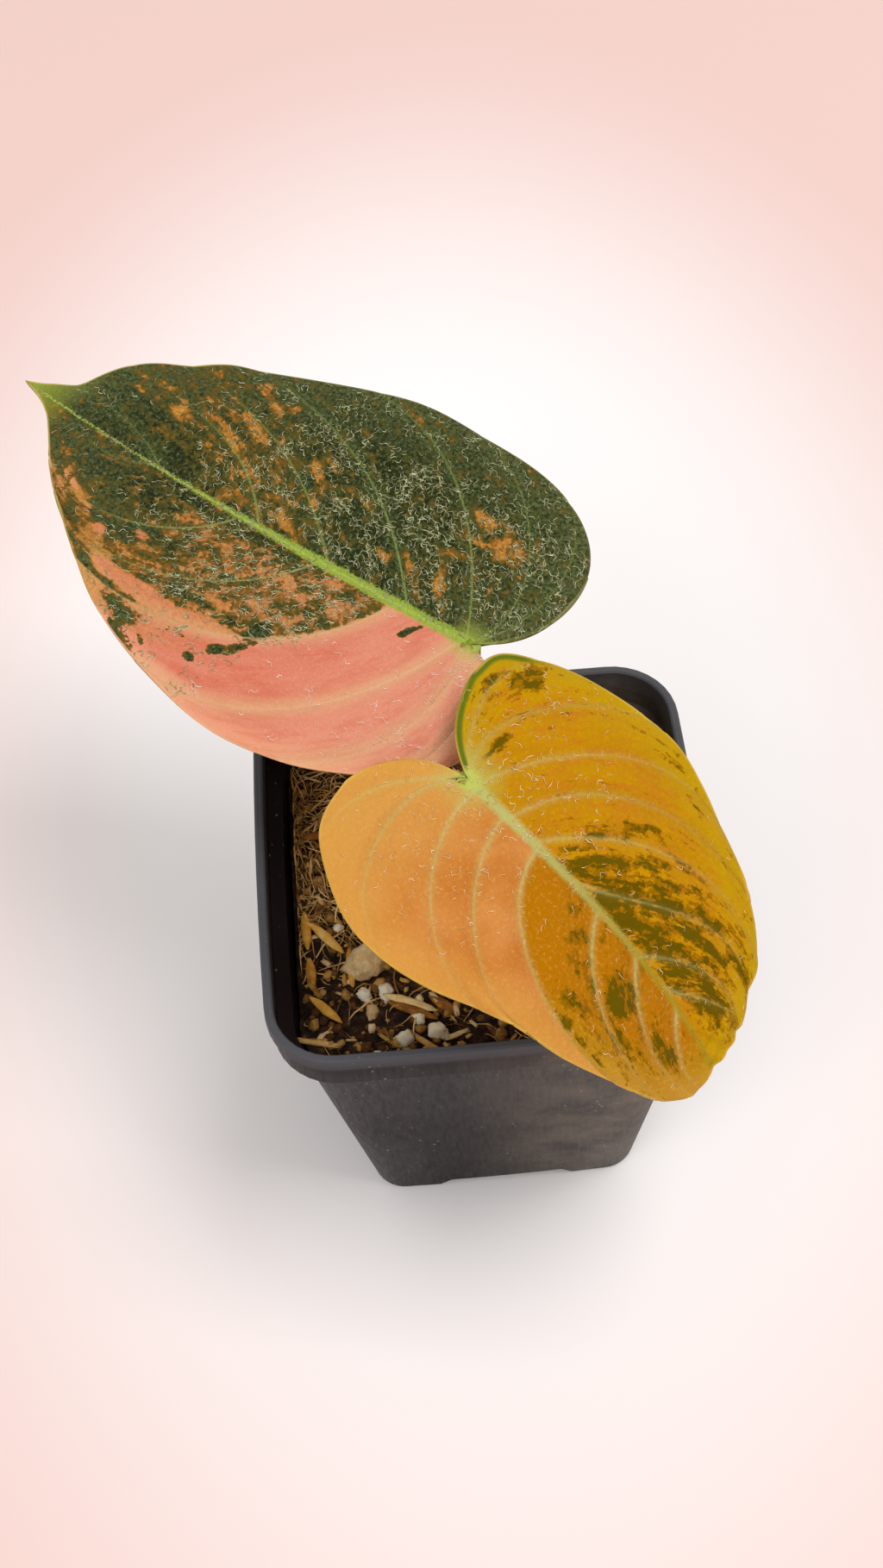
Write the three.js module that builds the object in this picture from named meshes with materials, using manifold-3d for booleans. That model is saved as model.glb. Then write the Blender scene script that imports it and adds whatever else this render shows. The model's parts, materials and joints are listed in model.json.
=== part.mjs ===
// Potted philodendron melanochrysum: a square nursery pot of potting mix, and a short stem that carries
// two heart-shaped leaves on stalks. Millimetres, +Z up. The origin is the middle of the pot's flat
// base on the standing surface, and the pot's front faces -Y.
import * as THREE from "three";
import { mergeVertices } from "three/addons/utils/BufferGeometryUtils.js";
import Module from "manifold-3d";

const wasm = await Module();
wasm.setup();

// Clearance between pieces that touch
const GAP = 0.3;

// Pot: half widths and corner radii of the square sections, and their heights
const POT = {
  height: 75,
  rimHalf: 38,
  rimCorner: 11.8,
  lipHeight: 3,
  lipWidth: 1.6,
  bandHalf: 37.2,
  bandCorner: 11.2,
  bandBottom: 66.3,
  bodyTopHalf: 34.7,
  bodyTopCorner: 9.8,
  baseHalf: 24.8,
  baseCorner: 6,
  wall: 0.9,
  floor: 1.2,
  sideBow: 0.35,
};

// Channels under the base run in from the middle of each side and leave the corner feet and the middle
// pad on the ground, and each has a drain hole in its roof.
const CHANNEL = {
  halfWidth: 13.4,
  roofHalfWidth: 10.4,
  height: 3,
  innerEnd: 9,
  roofThickness: 1.1,
  drainRadius: 2.2,
  drainLength: 7,
  drainCentre: 17,
};

// Potting mix: mean level of its surface and the height of its relief
const SOIL = {
  level: 64,
  relief: 0.8,
  edgeDrop: 0.8,
  lowestEdge: 61,
  ringCount: 10,
  cornerSteps: 4,
  sideSteps: 6,
};

// Stem: a short crown that stands in a plain hole in the mix
const STEM = { x: 1.5, y: 3.5, radius: 3.7, foot: 52, top: 80.5 };

// Leaf stalks: where each leaves the stem, the directions in which it leaves and arrives, its radii
const LARGE_STALK = {
  base: [1.6, 5.0, 71.5],
  leave: [0.02, 0.46, 0.89],
  arrive: [-0.1, 0.16, 0.98],
};
const SMALL_STALK = {
  base: [1.2, 2.4, 76],
  leave: [-0.06, -0.16, 0.98],
  arrive: [-0.12, -0.36, 0.93],
};
const STALK = { baseRadius: 1.75, neckRadius: 1.15, topRadius: 1.4, sides: 12, steps: 16 };
const COLLAR = { radius: 1.55, start: 0.55, end: 3.2, sides: 14 };

// Blades. A blade is drawn in its own plan: u runs along the midrib from the notch to the tip, v to the
// side. A row [u, v, from, leave, arrive] is a side vein: its end on the margin, where it starts on the
// midrib, and the angles in degrees at which it leaves the midrib and meets the margin. A row [u, v] is
// a margin point between two veins. Rows go from the notch round the lobe to the tip.
const LARGE_BLADE = {
  notch: [1.7, 22.5, 104.2],
  length: 96.2,
  heading: [147.7, -12.1, -2.85],
  pitch: [12.7, -12],
  roll: 8,
  right: [
    [-10.8, 12.1, 0, 155, 105], [-11.5, 16], [-11.3, 21.2, 0, 152, 78], [-8.1, 27.2],
    [-1.5, 32.3, 0, 139, 37], [8, 35.4], [19.6, 36.8, 0, 128, 11], [30.3, 36.6],
    [40.8, 34.7, 0.6, 70, 4], [52.6, 30.7], [62.5, 26.5, 11.9, 54, 1], [68.5, 23.7],
    [74, 20.5, 27.4, 47, 3], [78.5, 17.5], [82.5, 13.7, 41.8, 53, 0], [85.5, 9.3],
    [88, 4.9, 63, 31, -1], [91.8, 2.1],
  ],
  left: [
    [-10.4, 10.1, 0, 160, 100], [-10.7, 13.8], [-9.8, 18, 0, 147, 71], [-6.4, 23.4],
    [-0.6, 27.8, 0, 129, 49], [5.3, 31], [15.2, 34.5, 0.7, 107, 27], [28.6, 36.3],
    [43.6, 32.6, 1.6, 72, -13], [54.4, 28.2], [62.2, 23.2, 14.3, 70, -14], [69.4, 18.2],
    [74.1, 14.7, 29.4, 64, -36], [77.4, 12], [80, 9.6, 45.7, 65, -37], [83.7, 6.2],
    [87.9, 2.8, 65.2, 42, 8], [92.3, 0.9],
  ],
};
const SMALL_BLADE = {
  notch: [-0.8, -5.9, 105],
  length: 62.3,
  heading: [-47.1, 16.9, -25.8],
  pitch: [-19.5, -28],
  roll: -5,
  right: [
    [-12.4, 11, 0, 172, 106], [-12.9, 16.7], [-9.6, 24.3, 0, 138, 74], [2, 30.6],
    [10.5, 31.4, 0, 139, 10], [18.4, 29.6], [26.8, 25.9, 1.8, 92, -12], [31.1, 24.4],
    [35.2, 23, 8, 84, -17], [43.5, 20.5], [52.5, 16.2, 15.5, 86, -23], [56.4, 14.1],
    [60.5, 11.2, 29.3, 68, -18], [62.2, 8.7], [63.3, 6.4, 38.7, 52, -25], [63.7, 5],
    [63.5, 3.6, 50, 48, -30], [63, 1.8],
  ],
  left: [
    [-11.9, 12.6, 0, 162, 108], [-11.4, 18.5], [-5.8, 23.3, 0, 140, 48], [2.6, 26.7],
    [17.6, 29.7, 0, 131, 6], [27.1, 28.3], [35, 25.6, 1.4, 74, -17], [41.6, 22.8],
    [45.6, 21.1, 9.1, 80, -14], [49, 19.1], [52.2, 16.4, 14.3, 56, -19], [54.2, 14],
    [55.7, 11.9, 23.4, 26, -30], [57.4, 9.8], [58.8, 7.7, 39.1, 47, -22], [59.4, 6.8],
    [60, 5.8, 45.7, 29, -47], [61.5, 2.5],
  ],
};
// Each half rises from the midrib and arches over, the tissue between veins is puffed up in proportion
// to their distance, and the margin ripples. The midrib stands out below as a ridge.
const BLADE = {
  thickness: 0.8,
  tipInset: 0.8,
  fold: 0.12,
  arch: 0.0035,
  puff: 0.1,
  widestPuff: 9,
  puffRise: 2.6,
  ripple: 0.45,
  ripplePitch: 3.3,
  ridgeDepth: 1.1,
  ridgeWidth: 1.3,
  ridgeFlare: 1,
  handle: 0.38,
  rowSteps: 2,
  acrossSteps: [0, 0.05, 0.12, 0.22, 0.34, 0.46, 0.58, 0.7, 0.82, 0.92, 1],
  midribSteps: 22,
};

// Solids

// A closed three.js geometry as a solid that can be joined and cut
function solid(geometry) {
  const bare = geometry.clone();
  bare.deleteAttribute("normal");
  bare.deleteAttribute("uv");
  const merged = mergeVertices(bare, 1e-4);
  return new wasm.Manifold(
    new wasm.Mesh({
      numProp: 3,
      vertProperties: merged.attributes.position.array,
      triVerts: new Uint32Array(merged.index.array),
    }),
  );
}

// A named mesh of a solid
function piece(name, body, look) {
  const data = body.getMesh();
  const geometry = new THREE.BufferGeometry();
  geometry.setAttribute("position", new THREE.BufferAttribute(data.vertProperties, 3));
  geometry.setIndex(new THREE.BufferAttribute(data.triVerts, 1));
  geometry.computeVertexNormals();
  const mesh = new THREE.Mesh(geometry, new THREE.MeshStandardMaterial(look));
  mesh.name = name;
  return mesh;
}

function geometryOf(points, triangles) {
  const geometry = new THREE.BufferGeometry();
  geometry.setAttribute("position", new THREE.Float32BufferAttribute(points.flat(), 3));
  geometry.setIndex(triangles.flat());
  return geometry;
}

// A closed skin through rings of equally many points, each closed by a fan at its middle
function loft(rings) {
  const count = rings[0].length;
  const middle = (ring) => [0, 1, 2].map((k) => ring.reduce((sum, p) => sum + p[k], 0) / count);
  const points = [...rings.flat(), middle(rings[0]), middle(rings.at(-1))];
  const first = rings.length * count;
  const triangles = [];
  for (let i = 0; i < count; i++) {
    const next = (i + 1) % count;
    for (let row = 0; row < rings.length - 1; row++) {
      const a = row * count;
      const b = a + count;
      triangles.push([a + i, a + next, b + next], [a + i, b + next, b + i]);
    }
    const last = (rings.length - 1) * count;
    triangles.push([first, next, i], [first + 1, last + i, last + next]);
  }
  return solid(geometryOf(points, triangles));
}

// Points of a square with round corners at height z, counterclockwise; the sides may bow outwards
function squareRing(half, corner, z, bow = 0, cornerSteps = 5, sideSteps = 3) {
  const points = [];
  const centre = half - corner;
  for (let side = 0; side < 4; side++) {
    const turn = (side * Math.PI) / 2;
    const place = (x, y) => {
      points.push([x * Math.cos(turn) - y * Math.sin(turn), x * Math.sin(turn) + y * Math.cos(turn), z]);
    };
    for (let i = 0; i <= cornerSteps; i++) {
      const angle = (i / cornerSteps) * (Math.PI / 2);
      place(centre + corner * Math.cos(angle), centre + corner * Math.sin(angle));
    }
    for (let i = 1; i < sideSteps; i++) {
      const along = (2 * i) / sideSteps - 1;
      place(-along * centre, half + bow * (1 - along * along));
    }
  }
  return points;
}

// A tapered round tube along a curve, with flat ends
function taperedTube(curve, radiusAt, grow = 0) {
  const frames = curve.computeFrenetFrames(STALK.steps);
  const rings = [];
  for (let i = 0; i <= STALK.steps; i++) {
    const t = i / STALK.steps;
    const centre = curve.getPointAt(t);
    const radius = radiusAt(t) + grow;
    const ring = [];
    for (let k = 0; k < STALK.sides; k++) {
      const angle = (2 * Math.PI * k) / STALK.sides;
      const p = centre.clone();
      p.addScaledVector(frames.normals[i], radius * Math.cos(angle));
      p.addScaledVector(frames.binormals[i], radius * Math.sin(angle));
      ring.push(p.toArray());
    }
    rings.push(ring);
  }
  return loft(rings);
}

// Pot
function potSection(z) {
  // The body narrows evenly from under the band to the base.
  const share = z / POT.bandBottom;
  return {
    half: THREE.MathUtils.lerp(POT.baseHalf, POT.bodyTopHalf, share),
    corner: THREE.MathUtils.lerp(POT.baseCorner, POT.bodyTopCorner, share),
  };
}

function potRing(z, inset) {
  const { half, corner } = potSection(z);
  return squareRing(half - inset, corner - inset, z, POT.sideBow);
}

function cavityRings(inset, floor) {
  const bandInset = POT.wall + inset;
  return [
    potRing(floor, bandInset),
    potRing(POT.bandBottom / 2, bandInset),
    potRing(POT.bandBottom - 0.2, bandInset),
    squareRing(POT.bandHalf - bandInset, POT.bandCorner - bandInset, POT.bandBottom + 0.8),
    squareRing(POT.bandHalf - bandInset, POT.bandCorner - bandInset, POT.height - POT.lipHeight),
    squareRing(POT.rimHalf - POT.lipWidth, POT.rimCorner - POT.lipWidth, POT.height - 1.2),
    squareRing(POT.rimHalf - POT.lipWidth, POT.rimCorner - POT.lipWidth, POT.height + 1),
  ];
}

// One channel, pointing along +X, widened by grow and with its roof raised by rise
function channelPrism(grow, rise) {
  const foot = CHANNEL.halfWidth + grow;
  const roof = CHANNEL.roofHalfWidth + grow;
  const top = CHANNEL.height + rise;
  const section = new THREE.Shape();
  section.moveTo(-foot - 1, -1);
  section.lineTo(foot + 1, -1);
  section.lineTo(roof, top);
  section.lineTo(-roof, top);
  section.closePath();
  const length = POT.baseHalf + 10 - CHANNEL.innerEnd + grow;
  const prism = new THREE.ExtrudeGeometry(section, { depth: length, bevelEnabled: false });
  prism.rotateX(Math.PI / 2);
  prism.rotateZ(Math.PI / 2);
  prism.translate(CHANNEL.innerEnd - grow, 0, 0);
  return prism;
}

function aroundFour(geometry) {
  return [0, 1, 2, 3].map((turn) => geometry.clone().rotateZ((turn * Math.PI) / 2));
}

function cutAll(body, geometries) {
  return geometries.reduce((rest, geometry) => rest.subtract(solid(geometry)), body);
}

function drainHole() {
  const slot = new THREE.Shape();
  const straight = CHANNEL.drainLength / 2 - CHANNEL.drainRadius;
  slot.absarc(0, straight, CHANNEL.drainRadius, 0, Math.PI, false);
  slot.absarc(0, -straight, CHANNEL.drainRadius, Math.PI, 2 * Math.PI, false);
  const hole = new THREE.ExtrudeGeometry(slot, { depth: 8, bevelEnabled: false, curveSegments: 6 });
  hole.translate(CHANNEL.drainCentre, 0, -1);
  return hole;
}

function makePot() {
  const lipBottom = POT.height - POT.lipHeight;
  const outside = loft([
    squareRing(POT.baseHalf - 0.7, POT.baseCorner - 0.7, 0),
    potRing(0.8, 0),
    potRing(POT.bandBottom / 2, 0),
    potRing(POT.bandBottom - 0.6, 0),
    squareRing(POT.bandHalf - 0.3, POT.bandCorner - 0.3, POT.bandBottom),
    squareRing(POT.bandHalf, POT.bandCorner, POT.bandBottom + 0.6),
    squareRing(POT.bandHalf, POT.bandCorner, lipBottom),
    squareRing(POT.rimHalf, POT.rimCorner, lipBottom + 0.5),
    squareRing(POT.rimHalf, POT.rimCorner, POT.height - 0.5),
    squareRing(POT.rimHalf - 0.4, POT.rimCorner - 0.4, POT.height),
  ]);
  const cavity = cutAll(
    loft(cavityRings(0, POT.floor)),
    aroundFour(channelPrism(CHANNEL.roofThickness, CHANNEL.roofThickness)),
  );
  const shell = cutAll(outside, aroundFour(channelPrism(0, 0))).subtract(cavity);
  return cutAll(shell, aroundFour(drainHole()));
}

// Potting mix

// A repeatable source of numbers between 0 and 1
function seeded(seed) {
  let state = seed;
  return () => {
    state = (state * 1664525 + 1013904223) % 4294967296;
    return state / 4294967296;
  };
}

function soilHeight(x, y) {
  const long = Math.sin(0.19 * x + 0.9) * Math.cos(0.16 * y - 0.4);
  const short = Math.sin(0.43 * x - 0.31 * y) + 0.8 * Math.sin(0.36 * x + 0.52 * y + 2);
  const edge = (Math.max(Math.abs(x), Math.abs(y)) / POT.bodyTopHalf) ** 6;
  return SOIL.level + SOIL.relief * (0.7 * long + 0.5 * short) - SOIL.edgeDrop * edge;
}

function soilBody() {
  const inset = POT.wall + GAP;
  const ringAt = (z) => {
    const { half, corner } = potSection(z);
    const sides = [half - inset, corner - inset];
    return squareRing(...sides, z, 0, SOIL.cornerSteps, SOIL.sideSteps);
  };
  const rings = [ringAt(POT.floor + GAP), ringAt(POT.bandBottom / 2)];
  const outline = ringAt(SOIL.lowestEdge);
  for (let i = 0; i <= SOIL.ringCount; i++) {
    const scale = 1 - (i / (SOIL.ringCount + 1)) ** 1.1;
    rings.push(outline.map(([x, y]) => [x * scale, y * scale, soilHeight(x * scale, y * scale)]));
  }
  return loft(rings);
}

// Grains, hulls and strips lie half sunk in the surface of the mix: [x, y, length, turn in degrees].
// Those that the eye finds first are placed one by one, and a seeded draw adds the rest.
const PERLITE = [
  [-17.9, -19.2, 3.2], [-15.6, -28.8, 3.2], [-9.7, -27.8, 3.6], [-20.5, -22.9, 2.6],
  [-19.8, -31, 2.2], [-21.6, -19.2, 3], [-12.4, -21.3, 1.8], [-25.4, -5.5, 2],
];
const CHUNK = [-21.1, -13.3, 7];
const HULLS = [
  [-14, -22.4, 9.5, -22], [-28.4, -21.7, 7, -45], [-27.5, -7.6, 8.5, -48],
  [-31, -5.6, 7.5, -88], [-8.3, -22.8, 6.5, -38],
];
const STRIPS = [[-26.6, -28.4, 7, -15], [0, -29.2, 6, -55], [-12.4, -28.4, 7.5, -40]];
const SCATTER = { perlite: 10, hulls: 5, seed: 11 };

function settle(geometry, x, y, turn, lift) {
  geometry.rotateZ(THREE.MathUtils.degToRad(turn));
  geometry.translate(x, y, soilHeight(x, y) + lift);
  return solid(geometry);
}

function grain(x, y, size, draw) {
  const stone = new THREE.IcosahedronGeometry(size / 2, 0);
  stone.rotateX(draw() * 3);
  stone.scale(1, 0.75 + 0.2 * draw(), 0.8);
  return settle(stone, x, y, 360 * draw(), 0.12 * size);
}

function hull(x, y, length, turn) {
  const shell = new THREE.SphereGeometry(1, 8, 4);
  shell.rotateZ(Math.PI / 8);
  shell.rotateY(Math.PI / 2);
  shell.scale(length / 2, 1.25, 0.9);
  return settle(shell, x, y, turn, 0.25);
}

function strip(x, y, length, turn) {
  return settle(new THREE.BoxGeometry(length, 1.5, 1.6), x, y, turn, 0);
}

function makeSoil() {
  const draw = seeded(SCATTER.seed);
  const bits = [
    ...PERLITE.map(([x, y, size]) => grain(x, y, size, draw)),
    grain(...CHUNK, draw),
    ...HULLS.map((place) => hull(...place)),
    ...STRIPS.map((place) => strip(...place)),
  ];
  const reach = POT.bodyTopHalf - 7;
  const clearOfStem = (x, y) => Math.hypot(x - STEM.x, y - STEM.y) > STEM.radius + 4;
  let perliteLeft = SCATTER.perlite;
  let hullsLeft = SCATTER.hulls;
  while (perliteLeft + hullsLeft > 0) {
    const x = (2 * draw() - 1) * reach;
    const y = (2 * draw() - 1) * reach;
    const free = clearOfStem(x, y) && x - y > -4;
    if (free && perliteLeft > 0) {
      bits.push(grain(x, y, 2 + 1.4 * draw(), draw));
      perliteLeft -= 1;
    } else if (free) {
      bits.push(hull(x, y, 6 + 3 * draw(), 180 * draw()));
      hullsLeft -= 1;
    }
  }
  const whole = bits.reduce((sum, bit) => sum.add(bit), soilBody());
  const holeTop = SOIL.level + 6;
  const holeBottom = STEM.foot - GAP;
  const hole = new THREE.CylinderGeometry(STEM.radius + GAP, STEM.radius + GAP, holeTop - holeBottom, 20);
  hole.rotateX(Math.PI / 2);
  hole.translate(STEM.x, STEM.y, (holeTop + holeBottom) / 2);
  const rise = CHANNEL.roofThickness + GAP;
  return cutAll(whole, [hole, ...aroundFour(channelPrism(rise, rise))]);
}

// Stalks and stem
function unit(direction) {
  return new THREE.Vector3(...direction).normalize();
}

function stalkCurve(stalk, blade) {
  const start = new THREE.Vector3(...stalk.base);
  const end = new THREE.Vector3(...blade.notch);
  end.addScaledVector(unit(stalk.arrive), -COLLAR.end - GAP);
  const reach = start.distanceTo(end) * 0.38;
  const leaving = start.clone().addScaledVector(unit(stalk.leave), reach);
  const arriving = end.clone().addScaledVector(unit(stalk.arrive), -reach);
  return new THREE.CubicBezierCurve3(start, leaving, arriving, end);
}

// A stalk is stout at its sheath, slim along its neck, and swells again below the blade
function stalkRadius(t) {
  const sheath = (STALK.baseRadius - STALK.neckRadius) * (1 - t) ** 3;
  const swelling = (STALK.topRadius - STALK.neckRadius) * THREE.MathUtils.smoothstep(t, 0.8, 0.97);
  return STALK.neckRadius + sheath + swelling;
}

function makeStem(curves) {
  // Two leaf scars ring the crown, and its top is round.
  const { radius, foot, top } = STEM;
  const height = top - foot;
  const profile = [
    [0, 0], [radius * 0.8, 0], [radius, 1.2], [radius, 14.5], [radius * 0.92, 17.4],
    [radius * 0.99, 18.2], [radius * 0.9, 19.2], [radius * 0.88, 22.4], [radius * 0.96, 23.2],
    [radius * 0.86, 24.2], [radius * 0.8, height - 2], [radius * 0.55, height - 0.6], [0, height],
  ];
  const lathe = new THREE.LatheGeometry(profile.map(([r, z]) => new THREE.Vector2(r, z)), 20);
  lathe.rotateX(Math.PI / 2);
  lathe.translate(STEM.x, STEM.y, foot);
  return curves.reduce((rest, curve) => rest.subtract(taperedTube(curve, stalkRadius, GAP)), solid(lathe));
}

// Blades

// All rows of one half, from the notch to the tip, as full vein rows
function veinRows(rows, length) {
  const tip = [length, 0, length - BLADE.tipInset, 0, 0];
  const all = [...rows, tip];
  return all.map((row, i) => {
    if (row.length === 5) return row;
    const [before, after] = [all[i - 1], all[i + 1]];
    return [...row, ...[2, 3, 4].map((k) => (before[k] + after[k]) / 2)];
  });
}

// A row between the given rows, on a smooth curve through all of them
function rowAt(rows, t) {
  const last = rows.length - 1;
  const i = Math.min(Math.floor(t), last - 1);
  const f = t - i;
  const [p1, p2] = [rows[i], rows[i + 1]];
  return p1.map((b, k) => {
    const c = p2[k];
    const a = i > 0 ? rows[i - 1][k] : 2 * b - c;
    const d = i + 1 < last ? rows[i + 2][k] : 2 * c - b;
    return b + 0.5 * f * (c - a + f * (2 * a - 5 * b + 4 * c - d + f * (3 * (b - c) + d - a)));
  });
}

// The plan point at the share w of the way from the midrib to the margin, along the row at t
function planPoint(rows, length, t, w) {
  const [u, v, from, leave, arrive] = rowAt(rows, t);
  const m = THREE.MathUtils.clamp(from, 0, length - BLADE.tipInset);
  const reach = BLADE.handle * Math.hypot(u - m, v);
  const [out, into] = [THREE.MathUtils.degToRad(leave), THREE.MathUtils.degToRad(arrive)];
  const us = [m, m + reach * Math.cos(out), u - reach * Math.cos(into), u];
  const vs = [0, reach * Math.sin(out), v - reach * Math.sin(into), v];
  const weights = [(1 - w) ** 3, 3 * (1 - w) ** 2 * w, 3 * (1 - w) * w * w, w ** 3];
  const mix = (values) => values.reduce((sum, value, k) => sum + value * weights[k], 0);
  return [mix(us), mix(vs)];
}

// Height of the tissue between two veins, which lie two rows apart, and of the rippled margin
function reliefAt(rows, length, t, w) {
  const last = rows.length - 1;
  const vein = Math.min(2 * Math.floor(t / 2), last - 2);
  const share = (t - vein) / 2;
  const a = planPoint(rows, length, vein, w);
  const b = planPoint(rows, length, vein + 2, w);
  const distance = Math.min(Math.hypot(a[0] - b[0], a[1] - b[1]), BLADE.widestPuff);
  const pillow = 1 - Math.abs(2 * share - 1) ** 1.7;
  const off = planPoint(rows, length, t, w)[1];
  const rise = off ** 2 / (off ** 2 + BLADE.puffRise ** 2);
  const taper = Math.min(1, (last - t) / 3);
  const ripple = BLADE.ripple * Math.sin((2 * Math.PI * t) / BLADE.ripplePitch) * w ** 4 * taper;
  return BLADE.puff * distance * pillow * rise * (1 - 0.6 * w ** 4) + ripple;
}

// Depth of the midrib's ridge below the blade, which flares where the stalk joins it
function ridgeAt(u, v, length) {
  const along = u < 0 ? Math.exp(-((u / 2.5) ** 2)) : Math.max(0, 1 - u / length) ** 0.7;
  const width = BLADE.ridgeWidth + BLADE.ridgeFlare * Math.exp(-Math.abs(u) / 4);
  return BLADE.ridgeDepth * along * Math.exp(-((v / width) ** 2));
}

// The midrib in space: the middle line starts at the notch, and turns and bends along its length
function midrib(blade) {
  const steps = 200;
  const reach = blade.length * 1.15;
  const share = (s) => THREE.MathUtils.clamp(s / blade.length, 0, 1.2);
  const bend = (factors, s) => factors.reduce((sum, factor, k) => sum + factor * share(s) ** k, 0);
  const tangent = (s) => {
    const heading = THREE.MathUtils.degToRad(bend(blade.heading, s));
    const pitch = THREE.MathUtils.degToRad(bend(blade.pitch, s));
    return new THREE.Vector3(
      Math.cos(pitch) * Math.cos(heading),
      Math.cos(pitch) * Math.sin(heading),
      Math.sin(pitch),
    );
  };
  const line = [new THREE.Vector3()];
  for (let i = 1; i <= steps; i++) {
    const mean = tangent((reach * (i - 1)) / steps).add(tangent((reach * i) / steps));
    line.push(line[i - 1].clone().addScaledVector(mean, reach / steps / 2));
  }
  return (s) => {
    const forward = tangent(s);
    const place = (THREE.MathUtils.clamp(s, 0, reach) / reach) * steps;
    const i = Math.min(Math.floor(place), steps - 1);
    const point = line[i].clone().lerp(line[i + 1], place - i);
    point.addScaledVector(forward, Math.min(s, 0));
    const level = forward.clone().cross(new THREE.Vector3(0, 0, 1)).normalize();
    const right = level.applyAxisAngle(forward, -THREE.MathUtils.degToRad(blade.roll * (1 - share(s))));
    return { point, right, up: right.clone().cross(forward) };
  };
}

// Triangles of the band between the midrib points and the first points of one half
function stitch(inner, outer, planOf) {
  const gap = (a, b) => Math.hypot(planOf(a)[0] - planOf(b)[0], planOf(a)[1] - planOf(b)[1]);
  const triangles = [];
  let i = 0;
  let j = 0;
  while (i < inner.length - 1 || j < outer.length - 1) {
    const canInner = i < inner.length - 1;
    const canOuter = j < outer.length - 1;
    const byInner = canInner && (!canOuter || gap(inner[i + 1], outer[j]) < gap(inner[i], outer[j + 1]));
    if (byInner) {
      triangles.push([inner[i], outer[j], inner[i + 1]]);
      i += 1;
    } else {
      triangles.push([inner[i], outer[j], outer[j + 1]]);
      j += 1;
    }
  }
  return triangles;
}

function makeBlade(blade, stalk) {
  const { length } = blade;
  const frameAt = midrib(blade);
  const nodes = [];
  const known = new Map();
  const node = (u, v, height) => {
    const key = u.toFixed(3) + "," + v.toFixed(3);
    if (!known.has(key)) {
      known.set(key, nodes.length);
      nodes.push([u, v, height]);
    }
    return known.get(key);
  };
  const spine = [];
  for (let i = 0; i <= BLADE.midribSteps; i++) {
    spine.push(node(((length - BLADE.tipInset) * i) / BLADE.midribSteps, 0, 0));
  }
  const faces = [];
  const rims = [];
  for (const [side, given] of [[1, blade.right], [-1, blade.left]]) {
    const rows = veinRows(given, length);
    const count = (rows.length - 1) * BLADE.rowSteps;
    const columns = [];
    for (let k = 0; k <= count; k++) {
      const t = k / BLADE.rowSteps;
      columns.push(BLADE.acrossSteps.slice(1).map((w) => {
        const [u, v] = planPoint(rows, length, t, w);
        return node(u, side * v, reliefAt(rows, length, t, w));
      }));
    }
    const half = stitch(spine, columns.map((column) => column[0]), (i) => nodes[i]);
    for (let k = 0; k < count; k++) {
      for (let n = 0; n < columns[k].length - 1; n++) {
        const [a, b] = [columns[k][n], columns[k][n + 1]];
        const [c, d] = [columns[k + 1][n], columns[k + 1][n + 1]];
        half.push([a, b, d], [a, d, c]);
      }
    }
    faces.push(...half.map((f) => (side < 0 ? [f[0], f[2], f[1]] : f)));
    rims.push([spine[0], ...columns[0], ...columns.slice(1).map((column) => column.at(-1))]);
  }
  const proper = faces.filter(([a, b, c]) => a !== b && b !== c && c !== a);
  const points = [];
  for (const face of [1, -1]) {
    for (const [u, v, height] of nodes) {
      const { point, right, up } = frameAt(u);
      const arched = BLADE.fold * (Math.sqrt(v * v + 1) - 1) - BLADE.arch * v * v;
      const ridge = face < 0 ? ridgeAt(u, v, length) : 0;
      const lift = arched + height + face * (BLADE.thickness / 2) - ridge;
      const p = point.clone().addScaledVector(right, v).addScaledVector(up, lift);
      points.push(p.toArray());
    }
  }
  const below = nodes.length;
  const triangles = [...proper];
  triangles.push(...proper.map(([a, b, c]) => [a + below, c + below, b + below]));
  rims.forEach((rim, index) => {
    for (let k = 0; k < rim.length - 1; k++) {
      const [a, b] = index === 0 ? [rim[k], rim[k + 1]] : [rim[k + 1], rim[k]];
      triangles.push([a, a + below, b + below], [a, b + below, b]);
    }
  });
  const collarLength = COLLAR.end - COLLAR.start;
  const collar = new THREE.CylinderGeometry(COLLAR.radius, COLLAR.radius, collarLength, COLLAR.sides);
  collar.applyQuaternion(
    new THREE.Quaternion().setFromUnitVectors(new THREE.Vector3(0, 1, 0), unit(stalk.arrive)),
  );
  collar.translate(...unit(stalk.arrive).multiplyScalar(-(COLLAR.start + COLLAR.end) / 2).toArray());
  return solid(geometryOf(points, triangles)).add(solid(collar));
}

// Assembly
const plant = new THREE.Group();
plant.name = "potted_philodendron";

const curves = [stalkCurve(LARGE_STALK, LARGE_BLADE), stalkCurve(SMALL_STALK, SMALL_BLADE)];

const blackPlastic = { color: 0x2b2628, roughness: 0.5, metalness: 0 };
const pottingMix = { color: 0x4a3420, roughness: 0.95, metalness: 0 };
const greenStem = { color: 0x6f7a3a, roughness: 0.6, metalness: 0 };
const pinkStalk = { color: 0xb07a56, roughness: 0.55, metalness: 0 };
const darkGreenLeaf = { color: 0x4a4f2c, roughness: 0.6, metalness: 0, side: THREE.DoubleSide };
const amberLeaf = { color: 0xc98f2c, roughness: 0.5, metalness: 0, side: THREE.DoubleSide };

plant.add(piece("pot", makePot(), blackPlastic));
plant.add(piece("soil", makeSoil(), pottingMix));
plant.add(piece("stem", makeStem(curves), greenStem));
plant.add(piece("petiole_large_leaf", taperedTube(curves[0], stalkRadius), pinkStalk));
plant.add(piece("petiole_small_leaf", taperedTube(curves[1], stalkRadius), pinkStalk));

const largeBlade = piece("blade_large_leaf", makeBlade(LARGE_BLADE, LARGE_STALK), darkGreenLeaf);
largeBlade.position.set(...LARGE_BLADE.notch);
plant.add(largeBlade);
const smallBlade = piece("blade_small_leaf", makeBlade(SMALL_BLADE, SMALL_STALK), amberLeaf);
smallBlade.position.set(...SMALL_BLADE.notch);
plant.add(smallBlade);

export default plant;
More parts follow.
